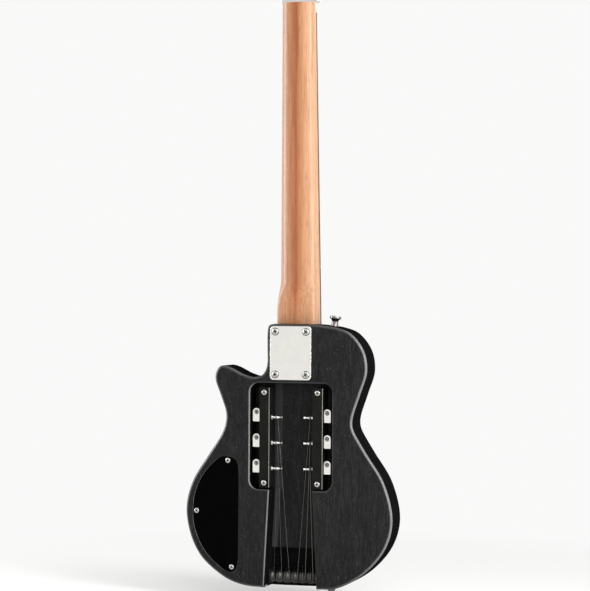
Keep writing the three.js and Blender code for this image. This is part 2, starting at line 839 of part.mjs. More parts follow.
function cutControls(body) {
  let solid = body.subtract(plate(coverOutline, backY - overrun, backY + coverThickness));
  const cavity = drawnIn(coverOutline, coverInset);
  solid = solid.subtract(plate(cavity, backY, frontY - controlFloor));
  for (const [x, z] of coverScrewPlaces()) {
    const bore = rodY(smallScrewRadius + slidingGap, x, z, backY, backY + coverScrewLength + overrun, 6);
    solid = solid.subtract(bore);
  }
  for (const z of [volumeKnobZ, toneKnobZ]) {
    solid = solid.subtract(rodY(potBushingRadius + slidingGap, knobX, z, 0, frontY + overrun));
  }
  const socketY = backY + socketDepth;
  const barrelRoom = socketBarrelRadius + slidingGap;
  solid = solid.subtract(rodX(barrelRoom, socketY, socketZ, -bodyWidth, knobX - potRadius));
  const seatRoom = socketPlateRadius + slidingGap;
  solid = solid.subtract(rodX(seatRoom, socketY, socketZ, -bodyWidth, socketSeatX, 20));
  return solid;
}

function cutTuners(body) {
  let solid = body;
  for (const side of [-1, 1]) {
    solid = solid.subtract(plate(slotOutline(side), frontY - slotDepth, frontY + overrun));
    for (const z of postPlacesZ) {
      const bore = rodY(keyShaftRadius + slidingGap, side * wormX, z + wormOffset, 0, frontY);
      solid = solid.subtract(bore);
    }
  }
  for (const [x, z] of railScrewPlaces) {
    const bore = rodY(railScrewRadius + slidingGap, x, z, 0, railScrewEndY() + seatGap, 6);
    solid = solid.subtract(bore);
  }
  return solid;
}

function railScrewEndY() {
  return backY + railTopDepth + railScrewLength;
}

const pickupTopY = frontY + pickupRise;
const pickupBottomY = pickupTopY - pickupHeight;
const earX = pickupLength / 2 + pickupEarReach / 2;

function cutFront(body) {
  let solid = body;
  const floorY = pickupBottomY - 3 * seatGap;
  const roomX = pickupLength / 2 + 2 * seatGap;
  const roomZ = pickupWidth / 2 + 2 * seatGap;
  solid = solid.subtract(block(-roomX, roomX, floorY, frontY + overrun, pickupZ - roomZ, pickupZ + roomZ));
  const earRoomX = roomX + pickupEarReach;
  const earRoomZ = pickupEarWidth / 2 + 2 * seatGap;
  solid = solid.subtract(block(-earRoomX, earRoomX, floorY, frontY + overrun,
    pickupZ - earRoomZ, pickupZ + earRoomZ));
  for (const side of [-1, 1]) {
    const screwRoom = smallScrewRadius + slidingGap;
    const screwEnd = pickupBottomY - pickupScrewDepth - seatGap;
    solid = solid.subtract(rodY(screwRoom, side * earX, pickupZ, screwEnd, frontY, 6));
    const room = bridgePostRadius + slidingGap;
    const boreEnd = frontY - bridgePostDepth - seatGap;
    solid = solid.subtract(rodY(room, side * bridgePostX, bridgeZ, boreEnd, frontY + overrun));
  }
  for (let index = 0; index < stringDiameters.length; index += 1) {
    solid = solid.subtract(stringHole(index));
  }
  return solid;
}

function bracketScrewPlaces() {
  const z = rollerAxleZ - bracketCheekHalfDepth + bracketFootLength / 2;
  return [-1, 1].map((side) => [side * bracketScrewSpacing / 2, z]);
}

// Where a strap button stands: a point of the outline at the given x, and its normal
function edgePlace(x, atTop) {
  const middleZ = bodyLength / 2;
  for (let i = 0; i < bodyOutline.length; i += 1) {
    const a = bodyOutline[i];
    const b = bodyOutline[(i + 1) % bodyOutline.length];
    const spans = (a.x - x) * (b.x - x) <= 0 && a.x !== b.x;
    if (spans && (a.y > middleZ) === atTop) {
      const share = (x - a.x) / (b.x - a.x);
      const along = b.clone().sub(a).normalize();
      return { z: a.y + (b.y - a.y) * share, turn: Math.atan2(along.y, -along.x) };
    }
  }
  throw new Error('no edge at this place');
}

function strapGroup(x, atTop) {
  const place = edgePlace(x, atTop);
  const group = new THREE.Group();
  group.position.set(x, 0, place.z);
  group.rotation.set(0, place.turn, 0);
  group.updateMatrix();
  return group;
}

function buildBody() {
  const outer = plate(bodyOutline, backY, frontY, bodyEdgeRound, 2);
  let solid = cutBack(outer);
  solid = solid.subtract(neckPocket());
  solid = cutControls(solid);
  solid = cutTuners(solid);
  solid = cutFront(solid);
  for (const [x, z] of neckScrewPlaces) {
    solid = solid.subtract(rodY(neckScrewRadius + slidingGap, x, z, backY - overrun, 0));
  }
  for (const [x, z] of bracketScrewPlaces()) {
    const face = backY + tailPocketDepth;
    const end = face + bracketScrewLength + seatGap;
    solid = solid.subtract(rodY(smallScrewRadius + slidingGap, x, z, face - overrun, end, 6));
  }
  for (const group of [strapGroup(upperButtonX, true), strapGroup(tailButtonX, false)]) {
    const depth = strapScrewLength + seatGap;
    const bore = geometryOf(rodZ(strapScrewRadius + slidingGap, 0, 0, -depth, overrun, 6));
    solid = solid.subtract(solidOf(moved(bore, group.matrix)));
  }
  addNode('body', geometryOf(solid), ...satinBlack);
}

// A button and its screw, turned as one
function strapButtonGeometry() {
  const top = seatGap + strapButtonHeight;
  const rimFrom = top - strapButtonRim;
  const profile = [[0, -strapScrewLength], [strapScrewRadius / 2, -strapScrewLength],
    [strapScrewRadius, 2 * strapScrewRadius - strapScrewLength], [strapScrewRadius, seatGap],
    [strapButtonFoot, seatGap], [strapButtonWaist, strapButtonHeight / 3],
    [strapButtonWaist, strapButtonHeight / 2], [strapButtonRadius, rimFrom],
    [strapButtonRadius, top - strapButtonRim / 3], [strapButtonRadius - strapButtonRim / 3, top],
    [strapScrewHeadRadius, top], [strapScrewHeadRadius, top + strapScrewHeadHeight / 2],
    [strapScrewHeadRadius / 2, top + strapScrewHeadHeight], [0, top + strapScrewHeadHeight]];
  const button = turned(profile, 10);
  button.rotateX(halfTurn / 2);
  return button;
}

function buildStrapButton(name, x, atTop) {
  const group = strapGroup(x, atTop);
  guitar.add(group);
  addNode(name, strapButtonGeometry(), ...steel, group);
}

function buildNeckPlate() {
  const outline = roundedRectangle(0, neckPlateZ, neckPlateWidth, neckPlateHeight, neckPlateCorner, 3);
  let solid = plate(outline, backY - neckPlateThickness, backY, neckPlateThickness / 4);
  for (const [x, z] of neckScrewPlaces) {
    solid = solid.subtract(rodY(neckScrewRadius + slidingGap, x, z, backY - overrun, 0));
  }
  addNode('neck_plate', geometryOf(solid), ...chrome);
}

function buildNeckScrews() {
  const shape = screw(neckScrewRadius, neckScrewHeadRadius, neckScrewHeadHeight, neckScrewLength);
  const face = backY - neckPlateThickness;
  neckScrewPlaces.forEach(([x, z], i) => {
    const mesh = addNode(`neck_screw_${i + 1}`, screwAt(shape, 0, 0, 0), ...steel);
    mesh.position.set(x, face, z);
  });
}

// The cover, with its three screws in place
function buildCover() {
  const outline = drawnIn(coverOutline, slidingGap);
  let solid = plate(outline, backY, backY + coverThickness);
  const shape = screw(smallScrewRadius, coverScrewHeadRadius, smallScrewHeadHeight, coverScrewLength);
  for (const [x, z] of coverScrewPlaces()) {
    solid = solid.add(solidOf(screwAt(shape, x, backY, z)));
  }
  addNode('control_cover', geometryOf(solid), ...glossBlack);
}

// Tuners
function mirroredX(geometry, side) {
  if (side > 0) return geometry;
  return flipped(geometry.clone().scale(-1, 1, 1));
}

// A rail with the flanged bores of its three posts and with its two screws in place
function buildRail(side, name) {
  const centreX = side * (railInnerX + railWidth / 2);
  const outline = roundedRectangle(centreX, railCentreZ, railWidth, railLength, railCorner, 1);
  const face = backY + railTopDepth;
  let solid = plate(outline, face, cavityFloorY);
  const flangeX = [railInnerX - bushingFlangeLength, railInnerX + railWidth / 2];
  const [near, far] = flangeX.map((x) => side * x).sort((a, b) => a - b);
  for (const z of postPlacesZ) {
    solid = solid.add(rodX(bushingFlangeRadius, postY, z, near, far, postSides));
  }
  for (const z of postPlacesZ) {
    solid = solid.subtract(rodX(postRadius + slidingGap, postY, z, -bodyWidth, bodyWidth, postSides));
  }
  const shape = screw(railScrewRadius, railScrewHeadRadius, railScrewHeadHeight, railScrewLength);
  for (const [x, z] of railScrewPlaces) {
    if (Math.sign(x) === side) solid = solid.add(solidOf(screwAt(shape, x, face, z)));
  }
  addNode(name, geometryOf(solid), ...railBlack);
}

function eachTuner(action) {
  for (const side of [-1, 1]) {
    postPlacesZ.forEach((z, row) => action(side, z, row));
  }
}

function alongX(geometry) {
  return geometry.rotateZ(-halfTurn / 2);
}

// A housing's outline seen from the back: round above, nearly square below
function housingOutline() {
  const radius = housingWidth / 2;
  const top = housingHeight - housingDrop - radius;
  const points = [];
  const steps = 5;
  for (let i = 0; i <= steps; i += 1) {
    const angle = halfTurn * i / steps;
    const x = railOuterX + radius + radius * Math.cos(angle);
    points.push(new THREE.Vector2(x, top + radius * Math.sin(angle)));
  }
  points.push(new THREE.Vector2(railOuterX, housingCorner - housingDrop));
  points.push(new THREE.Vector2(railOuterX + housingCorner, -housingDrop));
  points.push(new THREE.Vector2(railOuterX + housingWidth - housingCorner, -housingDrop));
  points.push(new THREE.Vector2(railOuterX + housingWidth, housingCorner - housingDrop));
  return points;
}

function housingSolid() {
  const from = backY + housingTopDepth;
  const to = from + housingLength;
  const wheelRoom = wheelRadius + slidingGap;
  const wheelHalf = wheelWidth / 2 + slidingGap;
  const end = railOuterX + housingWidth;
  let solid = plate(housingOutline(), from, to);
  solid = solid.subtract(rodX(wheelRoom, postY, 0, wormX - wheelHalf, wormX + wheelHalf));
  solid = solid.subtract(rodX(postRadius + slidingGap, postY, 0, railOuterX - overrun, end - 3 * wheelWall));
  solid = solid.subtract(rodY(keyShaftRadius + slidingGap, wormX, wormOffset, from - overrun, to + overrun));
  return solid;
}

// A post with its flange at the inner end and its worm wheel at the outer one
function postGeometry() {
  const wheelFrom = wormX - wheelWidth / 2;
  const wheelTo = wormX + wheelWidth / 2;
  const end = railOuterX + housingWidth - 3 * wheelWall - slidingGap;
  const flangeEnd = postInnerX + postFlangeLength;
  const profile = [[0, postInnerX], [postFlangeRadius, postInnerX], [postFlangeRadius, flangeEnd],
    [postRadius, flangeEnd], [postRadius, wheelFrom], [wheelRadius, wheelFrom],
    [wheelRadius, wheelTo], [postRadius, wheelTo], [postRadius, end], [0, end]];
  return alongX(turned(profile, postSides));
}

// A key: the worm's shaft through housing and body, with its button in the front slot
function keyGeometry() {
  const from = -buttonCentreDepth + housingTopDepth - keyEndProud;
  const shaft = rodY(keyShaftRadius, 0, 0, from, buttonHalfHeight / 2);
  const button = new THREE.SphereGeometry(1, 10, 7);
  button.scale(buttonHalfLength, buttonHalfHeight, buttonHalfThickness);
  return geometryOf(shaft.add(solidOf(button)));
}

function buildTuners() {
  const housing = geometryOf(housingSolid());
  const post = geometryOf(solidOf(postGeometry()));
  const key = keyGeometry();
  eachTuner((side, z, row) => {
    const name = tunerName(side, row);
    const unit = new THREE.Group();
    unit.position.set(0, 0, z);
    guitar.add(unit);
    addNode(`tuner_housing_${name}`, mirroredX(housing, side), ...chrome, unit);
    const postMesh = addNode(`post_${name}`, mirroredX(post, side), ...chrome, unit);
    postMesh.position.set(0, postY, 0);
    const keyMesh = addNode(`key_${name}`, key, ...chrome, unit);
    keyMesh.position.set(side * wormX, backY + buttonCentreDepth, wormOffset);
  });
}

function tunerName(side, row) {
  return `${side < 0 ? 'treble' : 'bass'}_${row + 1}`;
}

// Tail rollers
function buildRollers() {
  const half = rollerWidth / 2;
  const bore = axleRadius + slidingGap;
  const rimFrom = half - rollerRimWidth;
  const groove = rollerGrooveWidth / 2;
  const profile = closedProfile([[bore, -half], [rollerRadius - rollerEdge, -half],
    [rollerRadius, rollerEdge - half], [rollerRadius, -rimFrom], [rollerGrooveRadius, -groove],
    [rollerGrooveRadius, groove], [rollerRadius, rimFrom], [rollerRadius, half - rollerEdge],
    [rollerRadius - rollerEdge, half], [bore, half]]);
  const shape = geometryOf(solidOf(alongX(turned(profile, rollerSides))));
  const group = new THREE.Group();
  group.position.set(0, rollerCentre.x, rollerCentre.y);
  guitar.add(group);
  for (let index = 0; index < stringDiameters.length; index += 1) {
    const mesh = addNode(`roller_${index + 1}`, shape, ...steel, group);
    mesh.position.set(stringTailX(index), 0, 0);
  }
}

function bracketInnerX() {
  return 2.5 * stringPitchAtTail + rollerWidth / 2 + slidingGap;
}

function buildRollerAxle() {
  const reach = bracketInnerX() + bracketWall;
  const axle = rodX(axleRadius, rollerCentre.x, rollerCentre.y, -reach, reach);
  addNode('roller_axle', geometryOf(axle), ...steel);
}

function buildBracket() {
  const inner = bracketInnerX();
  const outer = inner + bracketWall;
  const half = bracketCheekHalfDepth;
  const footY = backY + tailPocketDepth;
  const low = rollerCentre.y - half;
  const fromY = rollerCentre.x - half;
  const cheeks = block(inner, outer, fromY, footY, low, rollerCentre.y + half)
    .add(block(-outer, -inner, fromY, footY, low, rollerCentre.y + half));
  const foot = block(-outer, outer, footY - bracketWall, footY, low, low + bracketFootLength);
  let solid = cheeks.add(foot);
  const boreRadius = axleRadius + slidingGap;
  solid = solid.subtract(rodX(boreRadius, rollerCentre.x, rollerCentre.y, -bodyWidth, bodyWidth));
  const shape = screw(smallScrewRadius, smallScrewHeadRadius, bracketScrewHeadHeight, bracketScrewLength, 8);
  for (const [x, z] of bracketScrewPlaces()) {
    solid = solid.add(solidOf(screwAt(shape, x, footY - bracketWall, z)));
  }
  addNode('roller_bracket', geometryOf(solid), ...railBlack);
}

// Bridge
const bridgeBottomY = frontY + bridgeRise;
const bridgeTopY = bridgeBottomY + bridgeHeight;
const saddleScrewY = bridgeBottomY + troughFloor + 1.2 * saddleScrewHeadRadius;

// The bridge's frame with its two posts and its six intonation screws
function buildBridge() {
  const corner = bridgeWidth / 2 - slidingGap;
  const outline = roundedRectangle(0, bridgeZ, 2 * bridgeHalfLength, bridgeWidth, corner);
  let solid = plate(outline, bridgeBottomY, bridgeTopY, bridgeEdgeRound);
  solid = solid.subtract(block(-troughHalfLength, troughHalfLength, bridgeBottomY + troughFloor,
    bridgeTopY + overrun, bridgeZ - troughWidth / 2, bridgeZ + troughWidth / 2));
  const wheelFrom = bridgeBottomY - thumbWheelHeight;
  const postFrom = frontY - bridgePostDepth;
  const post = turned([[0, postFrom], [bridgePostRadius, postFrom], [bridgePostRadius, wheelFrom],
    [thumbWheelRadius, wheelFrom], [thumbWheelRadius, bridgeBottomY + seatGap],
    [bridgePostRadius, bridgeBottomY + seatGap], [bridgePostRadius, bridgeTopY + seatGap],
    [0, bridgeTopY + seatGap]], 12);
  for (const side of [-1, 1]) {
    solid = solid.add(solidOf(post.clone().translate(side * bridgePostX, 0, bridgeZ)));
  }
  const head = bridgeZ - bridgeWidth / 2 - saddleScrewHeadLength;
  const shankEnd = bridgeZ + (bridgeWidth + troughWidth) / 4;
  for (let index = 0; index < stringDiameters.length; index += 1) {
    const x = stringTailX(index);
    const headEnd = head + saddleScrewHeadLength + seatGap;
    solid = solid.add(rodZ(saddleScrewRadius, x, saddleScrewY, head, shankEnd, 6));
    solid = solid.add(rodZ(saddleScrewHeadRadius, x, saddleScrewY, head, headEnd, 6));
  }
  addNode('bridge', geometryOf(solid), ...chrome);
}

// Saddles: wedges that carry the strings on narrow crests
function buildSaddles() {
  for (let index = 0; index < stringDiameters.length; index += 1) {
    const x = stringTailX(index);
    const top = saddleTop(index);
    const base = bridgeBottomY + troughFloor + slidingGap;
    const shoulder = Math.min(base + 3 * saddleScrewHeadRadius, top.y - saddleCrest);
    const crest = top.y - stringRestGap;
    const half = saddleLength / 2;
    const crestHalf = saddleCrest / 2;
    const ringAt = (at) => [[base, -half], [shoulder, -half], [crest, -crestHalf], [crest, crestHalf],
      [shoulder, half], [base, half]].map(([y, z]) => new THREE.Vector3(at, y, bridgeZ + z));
    let solid = solidOf(loft([ringAt(x - saddleWidth / 2), ringAt(x + saddleWidth / 2)]));
    solid = solid.subtract(rodZ(saddleScrewRadius + slidingGap, x, saddleScrewY, 0, bodyLength, 8));
    addNode(`saddle_${index + 1}`, geometryOf(solid), ...steel);
  }
}

// The pickup with its poles, and with the screws through its ears
function buildPickup() {
  const outline = roundedRectangle(0, pickupZ, pickupLength, pickupWidth, pickupCorner, 3);
  let solid = plate(outline, pickupBottomY, pickupTopY, pickupEdgeRound);
  const reach = pickupLength / 2 + pickupEarReach;
  const earTop = pickupBottomY + pickupEarThickness;
  solid = solid.add(block(-reach, reach, pickupBottomY, earTop,
    pickupZ - pickupEarWidth / 2, pickupZ + pickupEarWidth / 2));
  const screwLength = pickupEarThickness + pickupScrewDepth;
  const shape = screw(smallScrewRadius, smallScrewHeadRadius, smallScrewHeadHeight, screwLength, 8);
  for (const side of [-1, 1]) {
    solid = solid.add(solidOf(screwAt(shape, side * earX, earTop, pickupZ, true)));
  }
  for (const row of [-1, 1]) {
    for (let index = 0; index < stringDiameters.length; index += 1) {
      const z = pickupZ + row * poleRowSpacing / 2;
      const poleFrom = pickupTopY - poleHeight;
      solid = solid.add(rodY(poleRadius, stringTailX(index), z, poleFrom, pickupTopY + poleHeight, 6));
    }
  }
  addNode('pickup', geometryOf(solid), ...knobBlack);
}

// A pot: its can under the wood, its bushing through it and its nut on the front
function buildPot(name, z) {
  const floor = frontY - controlFloor;
  const boreRadius = potShaftRadius + slidingGap;
  const bushingTop = frontY + potBushingRise;
  const can = turned([[0, floor - potHeight], [potRadius, floor - potHeight], [potRadius, floor],
    [potBushingRadius, floor], [potBushingRadius, bushingTop], [boreRadius, bushingTop],
    [boreRadius, floor], [0, floor]], 10);
  const nutHole = rodY(boreRadius, 0, 0, frontY - overrun, frontY + overrun, 10);
  const nut = rodY(potNutRadius, 0, 0, frontY + seatGap, frontY + potNutHeight, 6).subtract(nutHole);
  const mesh = addNode(name, geometryOf(solidOf(can).add(nut)), ...steel);
  mesh.position.set(knobX, 0, z);
}

function buildKnob(name, z) {
  const bottom = frontY + 2 * seatGap;
  const top = bottom + knobHeight;
  const hollowTop = bottom + knobHollow;
  const shaftTop = frontY + potShaftRise;
  const shell = turned([[0, hollowTop], [knobRadius - knobWall, hollowTop],
    [knobRadius - knobWall, bottom], [knobRadius, bottom], [knobTopRadius, top - knobWall / 2],
    [knobTopRadius - knobWall / 2, top], [0, top]], 14);
  const shaftFrom = frontY - controlFloor + seatGap;
  const shaft = rodY(potShaftRadius, 0, 0, shaftFrom, shaftTop);
  const mesh = addNode(name, geometryOf(solidOf(shell).add(shaft)), ...knobBlack);
  mesh.position.set(knobX, 0, z);
}

// The socket: its barrel, the plate that it stands in and its nut
function buildSocket() {
  const outer = socketSeatX - socketPlateThickness - socketNutHeight;
  const plateFrom = socketSeatX - socketPlateThickness;
  const profile = closedProfile([[socketBoreRadius, outer], [socketNutRadius, outer],
    [socketNutRadius, plateFrom], [socketPlateRadius - socketPlateEdge, plateFrom],
    [socketPlateRadius, plateFrom + socketPlateEdge], [socketPlateRadius, socketSeatX],
    [socketBarrelRadius, socketSeatX], [socketBarrelRadius, outer + socketLength],
    [socketBoreRadius, outer + socketLength]]);
  const mesh = addNode('output_socket', alongX(turned(profile, 14)), ...chrome);
  mesh.position.set(0, backY + socketDepth, socketZ);
}

// Strings
class Route extends THREE.Curve {
  constructor(points) {
    super();
    this.points = points;
  }

  getPoint(share, target = new THREE.Vector3()) {
    const place = share * (this.points.length - 1);
    const index = Math.min(Math.floor(place), this.points.length - 2);
    return target.copy(this.points[index]).lerp(this.points[index + 1], place - index);
  }

  getUtoTmapping(share) {
    return share;
  }

  getTangent(share, target = new THREE.Vector3()) {
    const place = Math.round(share * (this.points.length - 1));
    const here = this.points[place];
    const before = this.points[Math.max(place - 1, 0)];
    const after = this.points[Math.min(place + 1, this.points.length - 1)];
    const arriving = here.clone().sub(before).normalize();
    const leaving = after.clone().sub(here).normalize();
    return target.copy(arriving).add(leaving).normalize();
  }
}

// Places from one point to another, both included
function run(from, to, steps) {
  const points = [];
  for (let i = 0; i <= steps; i += 1) points.push(from.clone().lerp(to, i / steps));
  return points;
}

function windingPitch(index) {
  return stringDiameters[index] + windingGap;
}

function postPathRadius(index) {
  return postRadius + slidingGap + stringDiameters[index] / 2;
}

// The row of posts that a string uses: the middle strings use the top posts.
function postRow(index) {
  return index < 3 ? 2 - index : index - 3;
}

function stringRoute(index) {
  const radius = stringDiameters[index] / 2;
  const nutX = stringNutX(index);
  const tailX = stringTailX(index);
  const nutY = nutStringLift - crown(nutX) + radius;
  const start = atNeck(nutX, headStringY(index), ballFromZ + ballLength / 2);
  const headMouth = atNeck(nutX, headStringY(index), headBottomZ);
  const overFret = atNeck(nutX, nutY, nutZ);
  const top = saddleTop(index);
  const arrive = new THREE.Vector3(tailX, top.y + radius, top.z + saddleTravel + saddleCrest);
  const leavePlace = bridgeLeave(index);
  const leave = new THREE.Vector3(tailX, leavePlace.x, leavePlace.y);
  const pathRadius = rollerPathRadius(index);
  const frontAngle = frontTangentAngle(index);
  const side = index < 3 ? -1 : 1;
  const postCentre = new THREE.Vector2(postY, postPlacesZ[postRow(index)]);
  const postPath = postPathRadius(index);
  const backAngle = tangentAngle(rollerCentre, postCentre, pathRadius + postPath, 1);
  const points = [start, headMouth, overFret, arrive, leave];
  const bendSteps = 7;
  const bendTurn = (backAngle - fullTurn) - frontAngle;
  for (let i = 0; i <= bendSteps; i += 1) {
    const place = onCircle(rollerCentre, pathRadius, frontAngle + bendTurn * i / bendSteps);
    points.push(new THREE.Vector3(tailX, place.x, place.y));
  }
  const startAngle = backAngle + halfTurn;
  const turnSteps = Math.round(windingTurns * windingStepsPerTurn);
  for (let i = 0; i <= turnSteps; i += 1) {
    const share = i / windingStepsPerTurn;
    const place = onCircle(postCentre, postPath, startAngle + fullTurn * share);
    points.push(new THREE.Vector3(side * (takeOffX + windingPitch(index) * share), place.x, place.y));
  }
  return points;
}

// The least distance between turns that lie side by side, less the string's own width
function leastWindingGap(points, diameter) {
  const turnsFrom = points.length - 1 - Math.round(windingTurns * windingStepsPerTurn);
  let least = Infinity;
  for (let i = turnsFrom; i < points.length; i += 1) {
    for (let j = i + windingStepsPerTurn / 2; j < points.length; j += 1) {
      least = Math.min(least, points[i].distanceTo(points[j]) - diameter);
    }
  }
  return least;
}

function buildStrings() {
  for (let index = 0; index < stringDiameters.length; index += 1) {
    const radius = stringDiameters[index] / 2;
    const points = stringRoute(index);
    const wire = solidOf(tube(new Route(points), points.length - 1, radius, stringSides));
    const ballToZ = ballFromZ + ballLength;
    const ball = rodZ(ballRadius, stringNutX(index), headStringY(index), ballFromZ, ballToZ, 6);
    const placedBall = solidOf(moved(geometryOf(ball), neckGroup.matrix));
    addNode(`string_${index + 1}`, geometryOf(wire.add(placedBall)), ...steel);
    const gap = leastWindingGap(points, stringDiameters[index]);
    console.log(`string ${index + 1}: least gap between its turns ${gap.toFixed(2)} mm`);
  }
}

buildBody();
buildNeck();
buildTrussRod();
buildFretboard();
buildHeadPiece();
buildNeckPlate();
buildNeckScrews();
buildCover();
buildRail(-1, 'tuner_rail_treble');
buildRail(1, 'tuner_rail_bass');
buildTuners();
buildRollers();
buildRollerAxle();
buildBracket();
buildBridge();
buildSaddles();
buildPickup();
buildPot('volume_pot', volumeKnobZ);
buildPot('tone_pot', toneKnobZ);
buildKnob('volume_knob', volumeKnobZ);
buildKnob('tone_knob', toneKnobZ);
buildSocket();
buildStrapButton('strap_button_upper', upperButtonX, true);
buildStrapButton('strap_button_tail', tailButtonX, false);
buildStrings();

export default guitar;
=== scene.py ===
import bpy
import bmesh
import random
from math import acos, atan2, copysign, cos, pi, radians, sin, sqrt
from mathutils import Matrix, Vector


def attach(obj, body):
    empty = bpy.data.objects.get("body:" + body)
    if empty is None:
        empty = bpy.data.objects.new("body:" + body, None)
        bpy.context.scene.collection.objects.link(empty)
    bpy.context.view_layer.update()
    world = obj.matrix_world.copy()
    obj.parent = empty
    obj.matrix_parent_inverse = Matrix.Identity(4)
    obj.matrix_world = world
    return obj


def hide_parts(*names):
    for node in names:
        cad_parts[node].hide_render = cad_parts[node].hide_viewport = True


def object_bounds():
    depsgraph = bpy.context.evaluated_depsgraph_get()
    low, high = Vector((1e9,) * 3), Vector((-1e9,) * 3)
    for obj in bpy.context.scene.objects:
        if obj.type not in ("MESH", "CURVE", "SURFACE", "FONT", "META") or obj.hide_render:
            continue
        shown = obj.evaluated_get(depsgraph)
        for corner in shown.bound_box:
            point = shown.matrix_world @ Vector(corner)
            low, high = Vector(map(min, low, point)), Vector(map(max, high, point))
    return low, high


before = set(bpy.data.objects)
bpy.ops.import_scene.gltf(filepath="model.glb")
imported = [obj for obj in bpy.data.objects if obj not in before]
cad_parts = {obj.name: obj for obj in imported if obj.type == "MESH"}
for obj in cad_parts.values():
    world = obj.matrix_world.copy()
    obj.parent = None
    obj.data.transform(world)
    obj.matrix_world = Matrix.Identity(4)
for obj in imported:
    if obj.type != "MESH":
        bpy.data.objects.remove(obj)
cad_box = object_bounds()
random.seed(7)

# Sizes in millimetres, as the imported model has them
MM = .001
GAP = .3
BODY_W, BODY_L, BODY_T, BODY_EDGE = 256.6, 315.0, 43.0, 4.2
BACK, FRONT = -BODY_T / 2, BODY_T / 2
BAY_HALF, BAY_LOW, BAY_HIGH, BAY_R, BAY_D, BAY_LIP = 50.9, 117.6, 244.4, 11, 24.5, 2.6
CHANNEL_TAIL, CHANNEL_BAY = 32.6, 26.4
CHANNEL_ZS = (-6, 30, 70, BAY_LOW)
TAIL_BAY, TAIL_BAY_D = (-6, 21.6), 33.2
POCKET, POCKET_LEDGE, POCKET_D = (13.5, 46.2), 1.4, 37
WALL_FROM = 4
COVER_T, COVER_LEDGE = 2, 7.2
POT_WALL = 8
POST_Z = (203.2, 172.6, 142.0)
POST_Y, POST_BORE = BACK + 12.2, 2.3
RAIL_IN, RAIL_W, RAIL_TOP, RAIL_MID, RAIL_LEN = 26.8, 12.5, 1.3, 179.2, 120.0
RAIL_OUT = RAIL_IN + RAIL_W
RAIL_SCREW_DZ = 54
HOUSING_Y, HOUSING_T, HOUSING_LOW, HOUSING_LEN, HOUSING_R = BACK + 4.5, 15.5, -5.2, 16.4, 4.75
WORM_X, WORM_DZ, WORM_END = 43.9, 6.4, BACK + 4.3
SLOT_W, SLOT_R, SLOT_REACH, SLOT_D = 24.8, 12.1, 12.4, 12
PLATE_Z, PLATE_W, PLATE_L, PLATE_T = 280.4, 51, 64, 1.6
TAIL_PITCH, NUT_PITCH = 9.8, 6.9
ROLLER = Vector((BACK + 22.6, 12.2))
GROOVE_R, ROLLER_W, BRACKET_R, BRACKET_T = 6, 9.3, 8.2, 1.6
GAUGES = (.25, .33, .43, .66, .91, 1.17)
WOUND_FROM = 3
PITCH = radians(2.0)
RISE = 5.1
SCALE_LEN = 628.65
FRET_COUNT, BOARD_T, BOARD_OVER, CROWN_R = 22, 6.0, 3.8, 305
MARKED = (3, 5, 7, 9, 12, 15, 17, 19, 21)
NECK_W, NECK_WIDER = 41, 10
HEEL_TOP, HEEL_BLEND, HEEL_DEPTH = 14, 40, 23.4
BRIDGE_Z, BRIDGE_LOW, BRIDGE_H = .1816 * BODY_L, FRONT + 8.6, 6.6
BRIDGE_POST_X, BRIDGE_SCREW_Y = 37, FRONT + 8.6 + 1.8 + 1.2 * 1.7
PICKUP_Z, PICKUP_TOP, PICKUP_LOW = .308 * BODY_L, FRONT + 9.4, FRONT + 9.4 - 18
PICKUP_W, PICKUP_L, EARS_W, EARS_L, EARS_T, PICKUP_ROOM = 68, 36.5, 81, 9, 1.6, 1.2
POLE_R, POLE_ROW = 2.4, 9
KNOB_X, KNOB_LOW, KNOB_H = -.3548 * BODY_W, FRONT + .6, 14
KNOB_Z = (("volume", .362 * BODY_L), ("tone", .235 * BODY_L))
SOCKET_X, SOCKET_Y, SOCKET_Z = -.5082 * BODY_W, BACK + 24, .2794 * BODY_L
SEAT_R, JACK_R, JACK_FROM, JACK_TO = 12.8, 5.9, -140, -99
NUT_Z = (BRIDGE_Z + SCALE_LEN * cos(PITCH) - BODY_L) / cos(PITCH)
NECK = Matrix.Translation((0, FRONT + RISE, BODY_L)) @ Matrix.Rotation(PITCH, 4, "X")

# Shares of the body's width and length
BODY_SHARES = [
    (0, 0), (-.1412, .0007), (-.2217, .0052), (-.2958, .0222), (-.3687, .0578), (-.4408, .1119),
    (-.4918, .1923), (-.5122, .2989), (-.4792, .4004), (-.4049, .4961), (-.331, .5924),
    (-.3176, .6548), (-.3415, .7193), (-.3711, .7855), (-.3684, .8145), (-.3533, .8345),
    (-.3319, .84), (-.2968, .8336), (-.2327, .8088), (-.1808, .7979), (-.1444, .8053),
    (-.1258, .8238), (-.1172, .8503), (-.1172, .91), (-.1162, .9734), (-.1089, .9939),
    (-.0858, 1), (0, 1), (.1053, .999), (.159, .995), (.2201, .9876), (.2877, .9658),
    (.349, .9017), (.3643, .8241), (.3326, .7391), (.2984, .6552), (.2948, .6259),
    (.3012, .6025), (.36, .5213), (.4481, .4072), (.4878, .2681), (.4532, .1615),
    (.3502, .0645), (.2179, .007), (.1461, .002)]
COVER_SHARES = [
    (-.3061, .494), (-.3359, .4935), (-.3617, .48), (-.4134, .437), (-.4502, .388),
    (-.471, .332), (-.475, .28), (-.4701, .23), (-.4392, .162), (-.4005, .117), (-.3607, .087),
    (-.3329, .069), (-.3101, .057), (-.2882, .054), (-.2693, .062), (-.2554, .085),
    (-.2524, .13), (-.2514, .275), (-.2514, .42), (-.2544, .46), (-.2643, .48), (-.2822, .49)]
COVER_SCREW_SHARES = ((-.3036, .479), (-.4571, .2845), (-.2832, .0738))
BUTTON_SHARES = (("upper", .1868), ("tail", .1789))


# ---- outlines
def vec(*numbers):
    return Vector(numbers)


